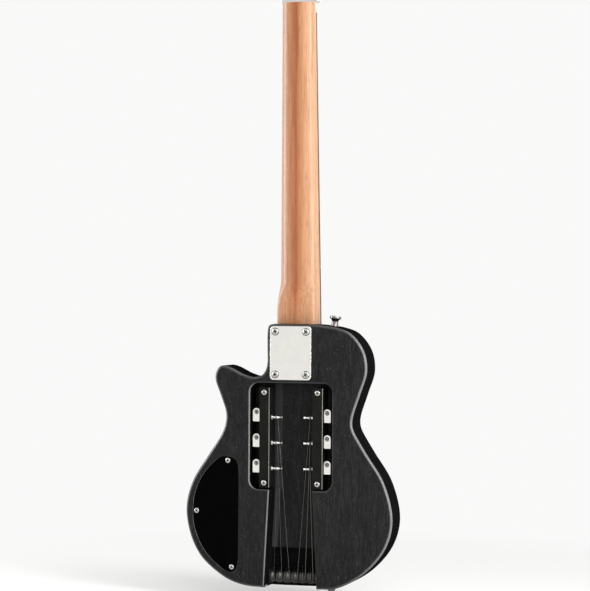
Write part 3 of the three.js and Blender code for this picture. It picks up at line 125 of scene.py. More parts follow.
def catmull(shares, steps=8):
    """A smooth closed outline through its points, counter-clockwise."""
    pts = [vec(x * BODY_W, z * BODY_L) for x, z in shares]
    n = len(pts)
    out = []
    for i in range(n):
        p = [pts[(i + k - 1) % n] for k in range(4)]
        d = [max(sqrt((p[k + 1] - p[k]).length), 1e-6) for k in range(3)]
        t1, t2 = [((p[k] - p[k - 1]) / d[k - 1] - (p[k + 1] - p[k - 1]) / (d[k - 1] + d[k])
                   + (p[k + 1] - p[k]) / d[k]) * d[1] for k in (1, 2)]
        c2 = -3 * p[1] + 3 * p[2] - 2 * t1 - t2
        c3 = 2 * p[1] - 2 * p[2] + t1 + t2
        for s in range(steps):
            t = s / steps
            out.append(p[1] + t1 * t + c2 * t * t + c3 * t ** 3)
    area = sum(a.x * b.y - b.x * a.y for a, b in zip(out, out[1:] + out[:1]))
    return out if area > 0 else out[::-1]


def offset(pts, dist):
    """Moves a counter-clockwise outline outwards, along the mitre of its corners."""
    out = []
    for i, p in enumerate(pts):
        a = (p - pts[i - 1]).normalized()
        b = (pts[(i + 1) % len(pts)] - p).normalized()
        m = vec(a.y + b.y, -a.x - b.x)
        m = m.normalized() if m.length > 1e-6 else vec(a.y, -a.x)
        out.append(p + m * (dist / max(m.dot(vec(a.y, -a.x)), .4)))
    return out


def drawn_in(pts, dist):
    """The same outline about its middle, its ends drawn in by a distance."""
    x0, x1 = min(p.x for p in pts), max(p.x for p in pts)
    z0, z1 = min(p.y for p in pts), max(p.y for p in pts)
    cx, cz = (x0 + x1) / 2, (z0 + z1) / 2
    kx, kz = 1 - 2 * dist / (x1 - x0), 1 - 2 * dist / (z1 - z0)
    return [vec(cx + (p.x - cx) * kx, cz + (p.y - cz) * kz) for p in pts]


def rounded(cx, cz, w, h, r, steps=8):
    """A rectangle with round corners."""
    out = []
    for q, (sx, sz) in enumerate(((1, 1), (-1, 1), (-1, -1), (1, -1))):
        for i in range(steps + 1):
            a = (q + i / steps) * pi / 2
            out.append(vec(cx + sx * (w / 2 - r) + r * cos(a), cz + sz * (h / 2 - r) + r * sin(a)))
    return out


def curve(a, p, b, steps):
    """A bend from a to b whose corner would be p."""
    ts = [k / steps for k in range(steps + 1)]
    return [a * (1 - t) ** 2 + p * 2 * t * (1 - t) + b * t * t for t in ts]


def rounds(profile, r, steps=3):
    """Rounds the corners of a profile, but not its ends."""
    pts = [Vector(p) for p in profile]
    out = pts[:1]
    for a, p, b in zip(pts, pts[1:], pts[2:]):
        da, db = a - p, b - p
        q = min(r, da.length * .45, db.length * .45)
        out += curve(p + da.normalized() * q, p, p + db.normalized() * q, steps)
    return [(v.x, v.y) for v in out + pts[-1:]]


def turns(count):
    return [2 * pi * i / count for i in range(count)]


def quarter(steps):
    """How far a quarter round falls short of its two sides."""
    return [(1 - sin(a), 1 - cos(a)) for a in (k / steps * pi / 2 for k in range(steps + 1))]


# ---- shapes
AXES = {
    "X": lambda h, u, v: vec(h, u, v),
    "Y": lambda h, u, v: vec(v, h, u),
    "Z": lambda h, u, v: vec(u, v, h),
}
BOX_SIDES = ((0, 1, 3, 2), (4, 6, 7, 5), (0, 4, 5, 1), (2, 3, 7, 6), (0, 2, 6, 4), (1, 5, 7, 3))
SHARP = 35.0


def link(name, data):
    obj = bpy.data.objects.new(name, data)
    bpy.context.scene.collection.objects.link(obj)
    return obj


def shade(bm, sharp):
    """Makes all faces smooth, but keeps the edges above an angle sharp."""
    for f in bm.faces:
        f.smooth = True
    for e in bm.edges:
        if len(e.link_faces) == 2:
            e.smooth = e.calc_face_angle(0) < radians(sharp)


class Shape:
    """A mesh in millimetres that grows part by part."""

    def __init__(self):
        self.bm = bmesh.new()

    def skin(self, rings, closed=False):
        """A skin through rings of equally many points, capped or joined end to end."""
        rows = [[self.bm.verts.new(p) for p in ring] for ring in rings]
        for a, b in zip(rows, rows[1:] + rows[:1] if closed else rows[1:]):
            for i in range(len(a)):
                j = (i + 1) % len(a)
                self.bm.faces.new((a[i], a[j], b[j], b[i]))
        if not closed:
            self.bm.faces.new(rows[0][::-1])
            self.bm.faces.new(rows[-1])
        return self

    def stack(self, pts, layers):
        """An outline in X and Z at several places in Y, each moved outwards by a distance."""
        return self.skin([[vec(p.x, y, p.y) for p in offset(pts, o)] for y, o in layers])

    def prism(self, pts, y0, y1, bevel=0.0, steps=3, round0=True, round1=True):
        """An outline between two places in Y, its rims rounded."""
        rim = [(bevel * a, -bevel * b) for a, b in quarter(steps)]
        low = [(y0 + d, o) for d, o in rim[::-1]] if bevel and round0 else [(y0, 0)]
        high = [(y1 - d, o) for d, o in rim] if bevel and round1 else [(y1, 0)]
        return self.stack(pts, low + high)

    def lipped(self, pts, face, depth, lip, inward=1):
        """A cutter whose mouth flares at a face, so that the edge it leaves is round."""
        layers = [(face - inward, lip)]
        layers += [(face + inward * lip * b, lip * a) for a, b in quarter(5)]
        return self.stack(pts, layers + [(face + inward * depth, 0)])

    def lathe(self, profile, axis="Y", at=(0, 0, 0), segs=32, closed=False, matrix=None):
        """Radii and heights turned about an axis."""
        rings = [[Vector(at) + AXES[axis](h, r * cos(a), r * sin(a)) for a in turns(segs)]
                 for r, h in profile]
        if matrix is not None:
            rings = [[matrix @ p for p in ring] for ring in rings]
        return self.skin(rings, closed)

    def rod(self, r, axis, a, b, u, v, segs=20):
        at = {"X": (0, u, v), "Y": (u, 0, v), "Z": (u, v, 0)}[axis]
        return self.lathe([(r, a), (r, b)], axis, at, segs)

    def tube(self, pts, r, sides=10):
        tangents = []
        for i, p in enumerate(pts):
            a, b = p - pts[max(i - 1, 0)], pts[min(i + 1, len(pts) - 1)] - p
            tangents.append((a.normalized() + b.normalized()).normalized())
        up = vec(1, 0, 0) if abs(tangents[0].x) < .8 else vec(0, 1, 0)
        u = tangents[0].cross(up).normalized()
        rings = []
        for p, t in zip(pts, tangents):
            u = (u - t * u.dot(t)).normalized()
            v = t.cross(u)
            rings.append([p + (u * cos(a) + v * sin(a)) * r for a in turns(sides)])
        return self.skin(rings)

    def box(self, xs, ys, zs, bevel=0.0, matrix=None):
        verts = [self.bm.verts.new((x, y, z)) for x in xs for y in ys for z in zs]
        faces = [self.bm.faces.new([verts[i] for i in side]) for side in BOX_SIDES]
        if matrix is not None:
            bmesh.ops.transform(self.bm, matrix=matrix, verts=verts)
        if bevel:
            edges = list({e for f in faces for e in f.edges})
            bmesh.ops.bevel(self.bm, geom=edges, offset=bevel, segments=2, profile=.5,
                            affect="EDGES")
        return self

    def done(self, name="cutter", sharp=SHARP):
        """The finished object, in metres."""
        bmesh.ops.remove_doubles(self.bm, verts=self.bm.verts, dist=1e-4)
        bmesh.ops.recalc_face_normals(self.bm, faces=self.bm.faces)
        shade(self.bm, sharp)
        bmesh.ops.scale(self.bm, vec=(MM, MM, MM), verts=self.bm.verts)
        mesh = bpy.data.meshes.new(name)
        self.bm.to_mesh(mesh)
        self.bm.free()
        return link(name, mesh)


def cut(obj, shapes, operation="DIFFERENCE", sharp=SHARP):
    """Cuts shapes off an object, or joins them to it."""
    tools = [shape.done() for shape in shapes]
    for tool in tools:
        mod = obj.modifiers.new("cut", "BOOLEAN")
        mod.operation = operation
        mod.solver = "EXACT"
        mod.object = tool
    mesh = bpy.data.meshes.new_from_object(obj.evaluated_get(bpy.context.evaluated_depsgraph_get()))
    obj.modifiers.clear()
    old, obj.data = obj.data, mesh
    bpy.data.meshes.remove(old)
    for tool in tools:
        bpy.data.objects.remove(tool)
    bm = bmesh.new()
    bm.from_mesh(mesh)
    shade(bm, sharp)
    bm.to_mesh(mesh)
    bm.free()


# ---- materials
def srgb(*levels):
    """A colour as a screen shows it, in levels of 255. One level gives a grey."""
    rgb = levels * 3 if len(levels) == 1 else levels
    return tuple(c / 255 / 12.92 if c <= 10 else ((c / 255 + .055) / 1.055) ** 2.4
                 for c in rgb) + (1,)


class Nodes:
    """Shader nodes by short calls. An input is a value or the socket that feeds it."""

    def __init__(self, tree):
        self.nodes, self.links = tree.nodes, tree.links

    def feed(self, node, inputs):
        for key, value in inputs.items():
            if hasattr(value, "links"):
                self.links.new(value, node.inputs[key])
            else:
                node.inputs[key].default_value = value

    def node(self, kind, inputs, out=0, **settings):
        node = self.nodes.new("ShaderNode" + kind)
        for key, value in settings.items():
            setattr(node, key, value)
        self.feed(node, inputs)
        return node.outputs[out]

    def math(self, operation, a, b=0):
        return self.node("Math", {0: a, 1: b}, operation=operation)

    def times(self, a, *others):
        for b in others:
            a = self.math("MULTIPLY", a, b)
        return a

    def parts(self, sock):
        """The three numbers of a place or a direction."""
        node = self.nodes.new("ShaderNodeSeparateXYZ")
        self.links.new(sock, node.inputs[0])
        return node.outputs

    def step(self, value, zero, one):
        """0 at one number, 1 at another, straight between."""
        return self.node("MapRange", {"Value": value, "From Min": zero, "From Max": one})

    def between(self, value, low, high, soft):
        """1 between two numbers and 0 outside them."""
        return self.times(self.step(value, low - soft, low + soft),
                          self.step(value, high + soft, high - soft))

    def mix(self, share, a, b, mode="MIX"):
        return self.node("Mix", {0: share, 6: a, 7: b}, 2, data_type="RGBA", blend_type=mode)

    def ramp(self, value, *stops):
        """Greys or colours at places from 0 to 1."""
        node = self.nodes.new("ShaderNodeValToRGB")
        elements = node.color_ramp.elements
        while len(elements) < len(stops):
            elements.new(.5)
        for element, (place, colour) in zip(elements, stops):
            element.position = place
            element.color = colour if isinstance(colour, tuple) else (colour, colour, colour, 1)
        self.links.new(value, node.inputs["Fac"])
        return node.outputs["Color"]


class Mat(Nodes):
    def __init__(self, name, colour, rough, metallic=0.0, specular=.5):
        self.m = bpy.data.materials.new(name)
        self.m.use_nodes = True
        super().__init__(self.m.node_tree)
        self.b = self.nodes["Principled BSDF"]
        self.look({"Base Color": colour, "Roughness": rough, "Metallic": metallic,
                   "Specular IOR Level": specular})
        place = self.nodes.new("ShaderNodeTexCoord")
        self.coord, self.normal = place.outputs["Object"], place.outputs["Normal"]

    def noise(self, stretch, scale, detail=4.0, rough=.6, distort=0.0):
        """Noise of the object's own places, which a low stretch draws out along an axis."""
        place = self.node("Mapping", {"Vector": self.coord, "Scale": stretch})
        return self.node("TexNoise", {"Vector": place, "Scale": scale, "Detail": detail,
                                      "Roughness": rough, "Distortion": distort}, "Fac")

    def look(self, inputs):
        self.feed(self.b, inputs)

    def bump(self, height, strength, dist=.0003):
        inputs = {"Strength": strength, "Distance": dist, "Height": height}
        if self.b.inputs["Normal"].is_linked:
            inputs["Normal"] = self.b.inputs["Normal"].links[0].from_socket
        self.look({"Normal": self.node("Bump", inputs)})


EVEN = (1, 1, 1)


def black_wood():
    """Satin black wood. Its rounded edges are painted lighter as painted highlight, most where they
    look to the bass side; its edges inside the cavities that look to the treble side, its walls and
    the tail pocket are painted darker as painted shade, and are less shiny.
    """
    m = Mat("satin_black_wood", srgb(40), .5, 0, .2)
    fine = m.noise((1, 1, .05), 300, 4, .7)
    wide = m.noise((1, 1, .2), 30, 3)
    speck = m.noise((1, 1, .4), 850, 3, .75)
    mottle = m.noise((1, 1, .12), 480, 5, .8)
    figure = m.noise((1, 1, .08), 55, 4, .6, .5)
    pore = m.noise((1, 1, .09), 900, 3, .7)
    face = m.ramp(fine, (.3, srgb(18)), (.55, srgb(26)), (.75, srgb(36)))
    face = m.mix(m.ramp(mottle, (.46, 0), (.68, .9)), face, srgb(50))
    face = m.mix(m.ramp(figure, (.3, .35), (.62, 0)), face, srgb(12))
    face = m.mix(m.ramp(speck, (.63, 0), (.7, 1)), face, srgb(84))
    face = m.mix(m.ramp(pore, (.28, 1), (.38, 0)), face, srgb(13))

    # Where the surface lies, in metres, and the way it looks
    x, y, z = m.parts(m.coord)
    nx, ny, _ = m.parts(m.normal)
    flat = m.math("ABSOLUTE", ny)
    edge = m.times(m.step(flat, .28, .46), m.step(flat, .975, .86))
    # Walls, which are painted darker as painted shade and are less shiny
    wall = m.step(flat, .34, .22)
    # The tail pocket, which is painted darker as painted shade and is less shiny
    beside = m.times(m.step(y, .0186, .0176), m.step(m.math("ABSOLUTE", x), .036, .034))
    pocket = m.times(m.step(y, -.0045, -.0015), m.step(z, .0475, .0455), beside)
    # Edges inside the cavities that look to the treble side, which get painted shade and less shine
    inner = m.times(m.between(x, -.06, .056, .004), m.step(nx, -.1, -.3))

    # Painted light: the floor of the cavity and the channel is painted lighter along its treble
    # side, as a pool of light
    along_channel = m.math("ADD", x, m.math("MULTIPLY", z, -.0527))
    channel = m.times(m.between(along_channel, -.0321, -.0252, .0004), m.step(z, .1175, .1165))
    bay = m.times(m.between(x, -.0262, -.0172, .0008), m.step(z, .1165, .1175))
    floor = m.times(m.between(y, .0022, .0038, .0002), m.between(z, .0462, .243, .0004))
    light = m.times(floor, m.math("ADD", m.times(channel, .75), m.times(bay, .5)))

    # Painted highlight: the rounded edges are painted lighter, most where they look to the bass
    # side, less where they look to the treble side
    wear_and_painted_light = m.ramp(m.step(nx, -1, 1), (0, srgb(88)), (.4, srgb(44)), (.6, srgb(52)), (1, srgb(140)))
    # Painted shade: those inner edges on the back half are painted darker
    wear_and_painted_light = m.mix(m.times(inner, m.step(y, 0, -.001)), wear_and_painted_light, srgb(30))
    colour = m.mix(edge, face, wear_and_painted_light)
    # Painted shade: the walls are painted darker
    colour = m.mix(m.times(wall, .72), colour, srgb(14))
    # Painted light: the band on the floor is painted lighter
    colour = m.mix(light, colour, srgb(72))
    shaded = m.math("SUBTRACT", 1, m.times(inner, .8))
    shine = m.math("ADD", m.times(edge, shaded, .45), .13)
    clear = m.math("SUBTRACT", 1, m.math("MAXIMUM", wall, pocket))
    # Painted shade: the tail pocket is painted darker
    m.look({"Base Color": m.mix(pocket, colour, srgb(25)),
            "Roughness": m.mix(edge, m.ramp(wide, (.3, .44), (.7, .58)), (.34, .34, .34, 1)),
            "Specular IOR Level": m.times(shine, clear)})
    m.bump(m.ramp(pore, (.3, 0), (.45, 1)), .35, .00025)
    m.bump(fine, .25, .0004)
    return m.m


def neck_wood():
    """Reddish brown wood, whose colour changes across the neck and waves along it: lighter towards
    both sides as painted highlights, darker along the middle, and lighter towards the heel.
    """
    m = Mat("neck_wood", srgb(200, 136, 96), .45, 0, .35)
    wide = m.noise((1, 1, .02), 60, 3, .5, .6)
    fine = m.noise((1, 1, .018), 420, 6, .7)
    pores = m.noise((1, 1, .05), 1400, 2, .6)
    x, _, z = m.parts(m.coord)
    x = m.math("ADD", x, m.times(m.math("SUBTRACT", wide, .5), .012))
    # Painted highlights: the colour is lighter towards both sides of the neck and darker along its
    # middle
    base = m.ramp(m.step(x, -.022, .022), (0, srgb(212, 164, 132)), (.22, srgb(198, 142, 106)),
                  (.4, srgb(184, 116, 74)), (.48, srgb(170, 98, 57)), (.56, srgb(196, 128, 86)),
                  (.68, srgb(212, 153, 111)), (.8, srgb(215, 163, 123)), (1, srgb(214, 165, 126)))
    base = m.mix(m.times(m.step(z, .355, .33), .35), base, srgb(226, 164, 120))
    streaked = m.mix(1.0, base, m.ramp(fine, (.3, srgb(214, 206, 198)), (.62, 1)), "MULTIPLY")
    dark = m.times(m.ramp(pores, (.3, 1), (.42, 0)), .5)
    m.look({"Base Color": m.mix(dark, streaked, srgb(128, 74, 44)),
            "Roughness": m.ramp(wide, (.3, .38), (.7, .52)),
            "Coat Weight": .3, "Coat Roughness": .24})
    m.bump(fine, .12, .0002)
    return m.m


def board_wood():
    m = Mat("fretboard_wood", srgb(58, 38, 28), .5, 0, .4)
    fine = m.noise((1, 1, .02), 500, 5, .7)
    wide = m.noise((1, 1, .03), 70, 3, .5, .5)
    m.look({"Base Color": m.mix(.5, m.ramp(wide, (.3, srgb(44, 28, 20)), (.7, srgb(78, 52, 38))),
                                m.ramp(fine, (.35, srgb(36, 22, 16)), (.65, srgb(84, 58, 42))))})
    m.bump(fine, .2, .0002)
    return m.m


def metal(name, colour, rough, spread=.06, scratch=.05, brushed=EVEN, wear_and_painted_light=.86):
    m = Mat(name, colour, rough, 1.0)
    soft = m.noise(EVEN, 90, 3)
    dull = tuple(c * wear_and_painted_light for c in colour[:3]) + (1,)
    m.look({"Base Color": m.mix(m.ramp(soft, (.35, 0), (.8, .6)), colour, dull),
            "Roughness": m.ramp(soft, (.3, max(rough - spread, .02)), (.7, rough + spread))})
    m.bump(m.noise(brushed, 1800, 3, .7), scratch, .00005)
    return m.m


def plastic(name, colour, rough, specular=.4, grain=.05, dust=1.4):
    m = Mat(name, colour, rough, 0, specular)
    soft = m.noise(EVEN, 60, 4)
    light = tuple(min(c * dust + .0002, 1) for c in colour[:3]) + (1,)
    m.look({"Base Color": m.mix(m.ramp(soft, (.4, 0), (.75, 1)), colour, light),
            "Roughness": m.ramp(soft, (.3, rough * .85), (.7, min(rough * 1.15, 1)))})
    m.bump(m.noise(EVEN, 1600, 2), grain, .00006)
    return m.m


def string_metal(name, wound):
    m = Mat(name, srgb(120, 118, 113), .4, 1.0)
    soft = m.noise(EVEN, 200, 2)
    m.look({"Roughness": m.ramp(soft, (.3, .34), (.7, .48))})
    if not wound:
        m.look({"Base Color": m.ramp(soft, (.3, srgb(105)), (.8, srgb(135)))})
        return m.m
    place = m.node("Mapping", {"Vector": m.coord, "Scale": (1, .4, 1)})
    wave = m.node("TexWave", {"Vector": place, "Scale": 550, "Distortion": .4}, "Fac",
                  bands_direction="Z")
    # Painted shade: the windings are painted darker in the grooves between them
    m.look({"Base Color": m.ramp(wave, (.1, srgb(70, 68, 64)), (.6, srgb(130, 127, 120)))})
    m.bump(wave, .7, .0001)
    return m.m


def black_bar():
    """Satin black metal, with a painted highlight along the edges that look to the bass side."""
    m = Mat("rail_black", srgb(24, 24, 22), .55, 0, .08)
    soft = m.noise(EVEN, 90, 3)
    nx, ny, _ = m.parts(m.normal)
    # Painted highlight on the edges that look to the bass side
    edge = m.times(m.between(m.math("ABSOLUTE", ny), .3, .95, .06), m.step(nx, .15, .25))
    base = m.ramp(soft, (.3, srgb(18, 18, 16)), (.7, srgb(27, 27, 24)))
    m.look({"Base Color": m.mix(edge, base, srgb(150, 149, 144)),
            "Roughness": m.ramp(soft, (.3, .42), (.7, .56))})
    m.bump(m.noise((1, 1, .2), 1500, 3), .1, .00005)
    return m.m


M_BODY = black_wood()
M_NECK = neck_wood()
M_BOARD = board_wood()
M_PLATE = metal("plate_chrome", srgb(239, 237, 231), .2, .06, .04, wear_and_painted_light=.9)
M_CHROME = metal("chrome", srgb(232, 231, 227), .14, .05, .03)
M_HEAD = metal("head_metal", srgb(214, 213, 210), .24, .07, .05)
M_SCREW = metal("screw_steel", srgb(196, 195, 191), .28, .08, .08)
M_BUTTON = metal("button_steel", srgb(128, 126, 123), .3, .08, .08)
M_HOUSING = metal("housing_chrome", srgb(242, 240, 235), .22, .05, .03)
# Painted shade for the floors of screw crosses and the gaps around screw heads
M_RECESS_SHADE = plastic("recess_painted_shade", srgb(26), .6, .1, .1)
M_END = metal("worm_end", srgb(150, 148, 144), .35, .06, .08)
M_STEEL = metal("steel", srgb(196, 195, 192), .3, .08, .1)
M_DARK_STEEL = metal("dark_steel", srgb(110, 109, 106), .35, .08, .1)
M_ROLLER = metal("roller_steel", srgb(82, 81, 78), .4, .08, .12, (.2, 1, 1))
M_RAIL = black_bar()
M_FRET = metal("fret_metal", srgb(214, 211, 203), .22, .05, .05)
M_COVER = plastic("cover_gloss", (.0006, .0006, .0006, 1), .12, .02, .02)
M_KNOB = plastic("matte_black", srgb(22), .42, .3, .12)
M_BRACKET = plastic("bracket_black", srgb(20), .5, .25, .1)
M_PEARL = plastic("pearl", srgb(226, 224, 214), .3, .5, .05, 1.05)
M_PLAIN = string_metal("string_plain", False)
M_WOUND = string_metal("string_wound", True)


def piece(name, shape, material, node=None, body="root", sharp=SHARP, cuts=(), joins=(),
          matrix=None):
    """Finishes a shape, with its material, the node it replaces and the body it rides on."""
    obj = shape.done(name, sharp)
    if joins:
        cut(obj, joins, "UNION")
    if cuts:
        cut(obj, cuts, sharp=sharp)
    if matrix is not None:
        obj.data.transform(Matrix.Scale(MM, 4) @ matrix @ Matrix.Scale(1 / MM, 4))
    obj.data.materials.clear()
    obj.data.materials.append(material)
    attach(obj, body)
    if node:
        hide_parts(node)


# ---- places
SIDES = ((-1, "treble"), (1, "bass"))
TO_BACK, TO_FRONT, UP = vec(0, -1, 0), vec(0, 1, 0), vec(0, 0, 1)


def clamp(t, high=1):
    return min(max(t, 0), high)


def blend(a, b, t):
    return a + (b - a) * t


def squared(c, power):
    """A cosine or sine to a power with its sign kept, which makes a circle squarer."""
    return copysign(abs(c) ** power, c) if abs(c) > 1e-9 else 0


def raised(base, *profile):
    return [(r, base + h) for r, h in profile]


def fret_z(i):
    return NUT_Z - SCALE_LEN * (1 - 2 ** (-i / 12))


BOARD_END, BOARD_HEAD = fret_z(FRET_COUNT) - BOARD_OVER, NUT_Z + 3.4
NECK_END, NECK_TOP = NUT_Z + 15.2, -BOARD_T - GAP
HEEL_END = -65.4 / cos(PITCH)
HEAD_BOTTOM, HEAD_L, HEAD_H = NECK_END + GAP, 25, 12.5
HEAD_MID = HEAD_BOTTOM + HEAD_L / 2
COVER_PTS, BODY_PTS = catmull(COVER_SHARES), catmull(BODY_SHARES)
RAIL_SCREWS = [(s * (RAIL_IN + RAIL_W / 2), RAIL_MID + e * RAIL_SCREW_DZ)
               for s in (-1, 1) for e in (-1, 1)]
NECK_SCREWS = [(s * 19, PLATE_Z + e * 25.5) for s in (-1, 1) for e in (-1, 1)]
COVER_SCREWS = [(x * BODY_W, z * BODY_L) for x, z in COVER_SCREW_SHARES]


def half_width(z):
    """Half the width of the neck and the board."""
    length = NUT_Z - BOARD_END
    return (NECK_W + NECK_WIDER * clamp((NUT_Z - z) / length, 1 + BOARD_OVER / length)) / 2


def crown(x):
    """How far the round face of the board falls away from its middle."""
    return CROWN_R - sqrt(CROWN_R * CROWN_R - x * x)


def neck_ring(z, steps=32, room=0.0, high=None):
    """The neck's section, square at the heel and round above it."""
    taper = clamp((z - HEEL_TOP) / (NUT_Z - HEEL_TOP))
    t = clamp((z - HEEL_TOP) / HEEL_BLEND)
    t = t * t * (3 - 2 * t)
    depth = blend(HEEL_DEPTH, blend(16.7, 14.2, taper), t) + room
    power = 2 / blend(9, 2.1, t)
    ring = []
    for i in range(steps + 1):
        a = i * pi / steps
        y = NECK_TOP - depth * abs(sin(a)) ** power
        if high is not None and i in (0, steps):
            y = high
        x = squared(cos(a), power) * (half_width(z) + room)
        ring.append(NECK @ vec(x, y, z))
    return ring


def channel_half(z):
    return CHANNEL_TAIL + (CHANNEL_BAY - CHANNEL_TAIL) * z / BAY_LOW


def channel_points(zs, ledge=0.0):
    right = [vec(channel_half(z) - ledge, z) for z in zs]
    return right + [vec(-p.x, p.y) for p in right[::-1]]


def bay_points():
    """The tuner cavity and the string channel as one outline."""
    half, low, high = BAY_HALF - BAY_R, BAY_LOW + BAY_R, BAY_HIGH - BAY_R
    pts = [vec(channel_half(z), z) for z in CHANNEL_ZS] + [vec(half, BAY_LOW)]
    for cx, cz, q in ((half, low, 3), (half, high, 0), (-half, high, 1), (-half, low, 2)):
        for i in range(9):
            a = (q + i / 8) * pi / 2
            p = vec(cx + BAY_R * cos(a), cz + BAY_R * sin(a))
            if (p - pts[-1]).length > .01:
                pts.append(p)
    return pts + [vec(-channel_half(z), z) for z in CHANNEL_ZS[::-1]]


def slot_points(side):
    top, low = POST_Z[0] + WORM_DZ + SLOT_REACH, POST_Z[2] + WORM_DZ - SLOT_REACH
    return rounded(side * WORM_X, (top + low) / 2, SLOT_W, top - low, SLOT_R, 10)


def tail_x(i):
    return (i - 2.5) * TAIL_PITCH


def nut_x(i):
    return (i - 2.5) * NUT_PITCH


def string_y(i):
    """Where a string's middle passes over the zero fret, on the neck."""
    return 1.4 - crown(nut_x(i)) + GAUGES[i] / 2


def head_y(i):
    return string_y(i) - .9


def saddle_top(i):
    x = tail_x(i)
    return NECK @ vec(x, 5.4 - crown(x), NUT_Z - SCALE_LEN)


def saddle_end(i):
    """Where a string bends down behind its saddle, in Y and Z."""
    t = saddle_top(i)
    return vec(t.y + GAUGES[i] / 2, t.z - 2.5 - .9)


def on_circle(c, r, a):
    return vec(c.x + r * cos(a), c.y + r * sin(a))


def tangent(c0, c1, total, turn):
    g = c1 - c0
    return atan2(g.y, g.x) + turn * acos(total / g.length)


def roller_r(i):
    """How far a string's middle runs from the roller's axis."""
    return GROOVE_R + GAP + GAUGES[i] / 2


def front_angle(i):
    return tangent(ROLLER, saddle_end(i), roller_r(i), -1)


# ---- body
def string_hole(i):
    """A slanted hole from the tail pocket to the front."""
    a, b = on_circle(ROLLER, roller_r(i), front_angle(i)), saddle_end(i)
    ends = [a + (b - a) * ((y - a.x) / (b.x - a.x)) for y in (BACK + 33, FRONT + 4)]
    return Shape().tube([vec(tail_x(i), *p) for p in ends], GAUGES[i] / 2 + 1.1, 16)


def build_body():
    wall, proud = BACK + WALL_FROM, FRONT + 2
    tools = [Shape().lipped(bay_points(), BACK, BAY_D, BAY_LIP),
             Shape().prism(channel_points(TAIL_BAY), wall, BACK + TAIL_BAY_D),
             Shape().prism(channel_points(POCKET, POCKET_LEDGE), wall, BACK + POCKET_D),
             Shape().lipped(COVER_PTS, BACK, COVER_T, .5),
             Shape().prism(drawn_in(COVER_PTS, COVER_LEDGE), BACK + 1, FRONT - POT_WALL)]
    for s, _ in SIDES:
        tools.append(Shape().lipped(slot_points(s), FRONT, SLOT_D, 1.8, -1))
        tools += [Shape().rod(2.4, "Y", 0, FRONT, s * WORM_X, z + WORM_DZ) for z in POST_Z]
    tools.append(Shape().skin([neck_ring(z, 32, GAP, NECK_TOP + 30)[::-1]
                               for z in (HEEL_END - GAP, HEEL_TOP)]))
    floor = PICKUP_LOW - .9
    mouth = rounded(0, PICKUP_Z, PICKUP_W + PICKUP_ROOM, PICKUP_L + PICKUP_ROOM, 3.4)
    ears = rounded(0, PICKUP_Z, EARS_W + PICKUP_ROOM, EARS_L + PICKUP_ROOM, 2)
    tools.append(Shape().lipped(mouth, FRONT, FRONT - floor, .6, -1))
    tools.append(Shape().prism(ears, floor, proud))
    tools += [Shape().rod(3.2, "Y", FRONT - 14.3, proud, s * BRIDGE_POST_X, BRIDGE_Z)
              for s, _ in SIDES]
    tools += [string_hole(i) for i in range(6)]
    tools += [Shape().rod(4.5, "Y", 0, proud, KNOB_X, z) for _, z in KNOB_Z]
    tools.append(Shape().rod(JACK_R, "X", JACK_FROM, JACK_TO, SOCKET_Y, SOCKET_Z, 32))
    tools.append(Shape().rod(SEAT_R, "X", JACK_FROM, SOCKET_X, SOCKET_Y, SOCKET_Z, 48))
    body = Shape().prism(BODY_PTS, BACK, FRONT, BODY_EDGE, 6)
    piece("body_shell", body, M_BODY, "body", cuts=tools)


# ---- neck
def build_neck():
    blended = HEEL_TOP + HEEL_BLEND
    zs = [HEEL_END, HEEL_END + .8, -20, HEEL_TOP - .1, HEEL_TOP]
    zs += [HEEL_TOP + HEEL_BLEND * i / 20 for i in range(1, 21)]
    zs += [blended + (NECK_END - blended) * i / 20 for i in range(1, 21)]
    neck = Shape().skin([neck_ring(z, 48)[::-1] for z in zs])
    piece("neck_wood_piece", neck, M_NECK, "neck", sharp=50)

    rings = []
    for k in range(41):
        z = BOARD_END + (BOARD_HEAD - BOARD_END) * k / 40
        h = half_width(z)
        ring = [(-h, -BOARD_T), (h, -BOARD_T), (h, -crown(h) - .5)]
        ring += [(x, -crown(x)) for x in ((h - .4) * (1 - i / 5) for i in range(11))]
        ring.append((-h, -crown(h) - .5))
        rings.append([NECK @ vec(x, y, z) for x, y in ring])
    board = Shape().skin(rings)
    piece("fretboard_piece", board, M_BOARD, "fretboard", sharp=30)

    frets, root = Shape(), .3
    for f in range(FRET_COUNT + 1):
        z, tall = fret_z(f), (1.1 if f else 1.2)
        h = half_width(z) - .4
        rings = []
        for x in (h * (i / 7 - 1) for i in range(15)):
            top = tall * (.35 + .65 * sqrt(clamp((h - abs(x)) / 1.2)))
            rings.append([NECK @ vec(x, -crown(x) - root + (top + root) * sin(a), z - 1.1 * cos(a))
                          for a in (pi * k / 8 for k in range(9))])
        frets.skin(rings)
    piece("frets", frets, M_FRET, sharp=50)

    dots = Shape()
    for f in MARKED:
        z = (fret_z(f) + fret_z(f - 1)) / 2
        for x in (-8, 8) if f == 12 else (0,):
            dots.lathe([(3, -.6), (3, .02), (2.7, .05)], "Y", (x, -crown(x), z), matrix=NECK)
        for dz in (-3, 3) if f == 12 else (0,):
            dots.lathe([(1, -.8), (1, -.05), (.8, -.01)], "X", (half_width(z), -3, z + dz), 16,
                       matrix=NECK)
    piece("position_dots", dots, M_PEARL, sharp=50)


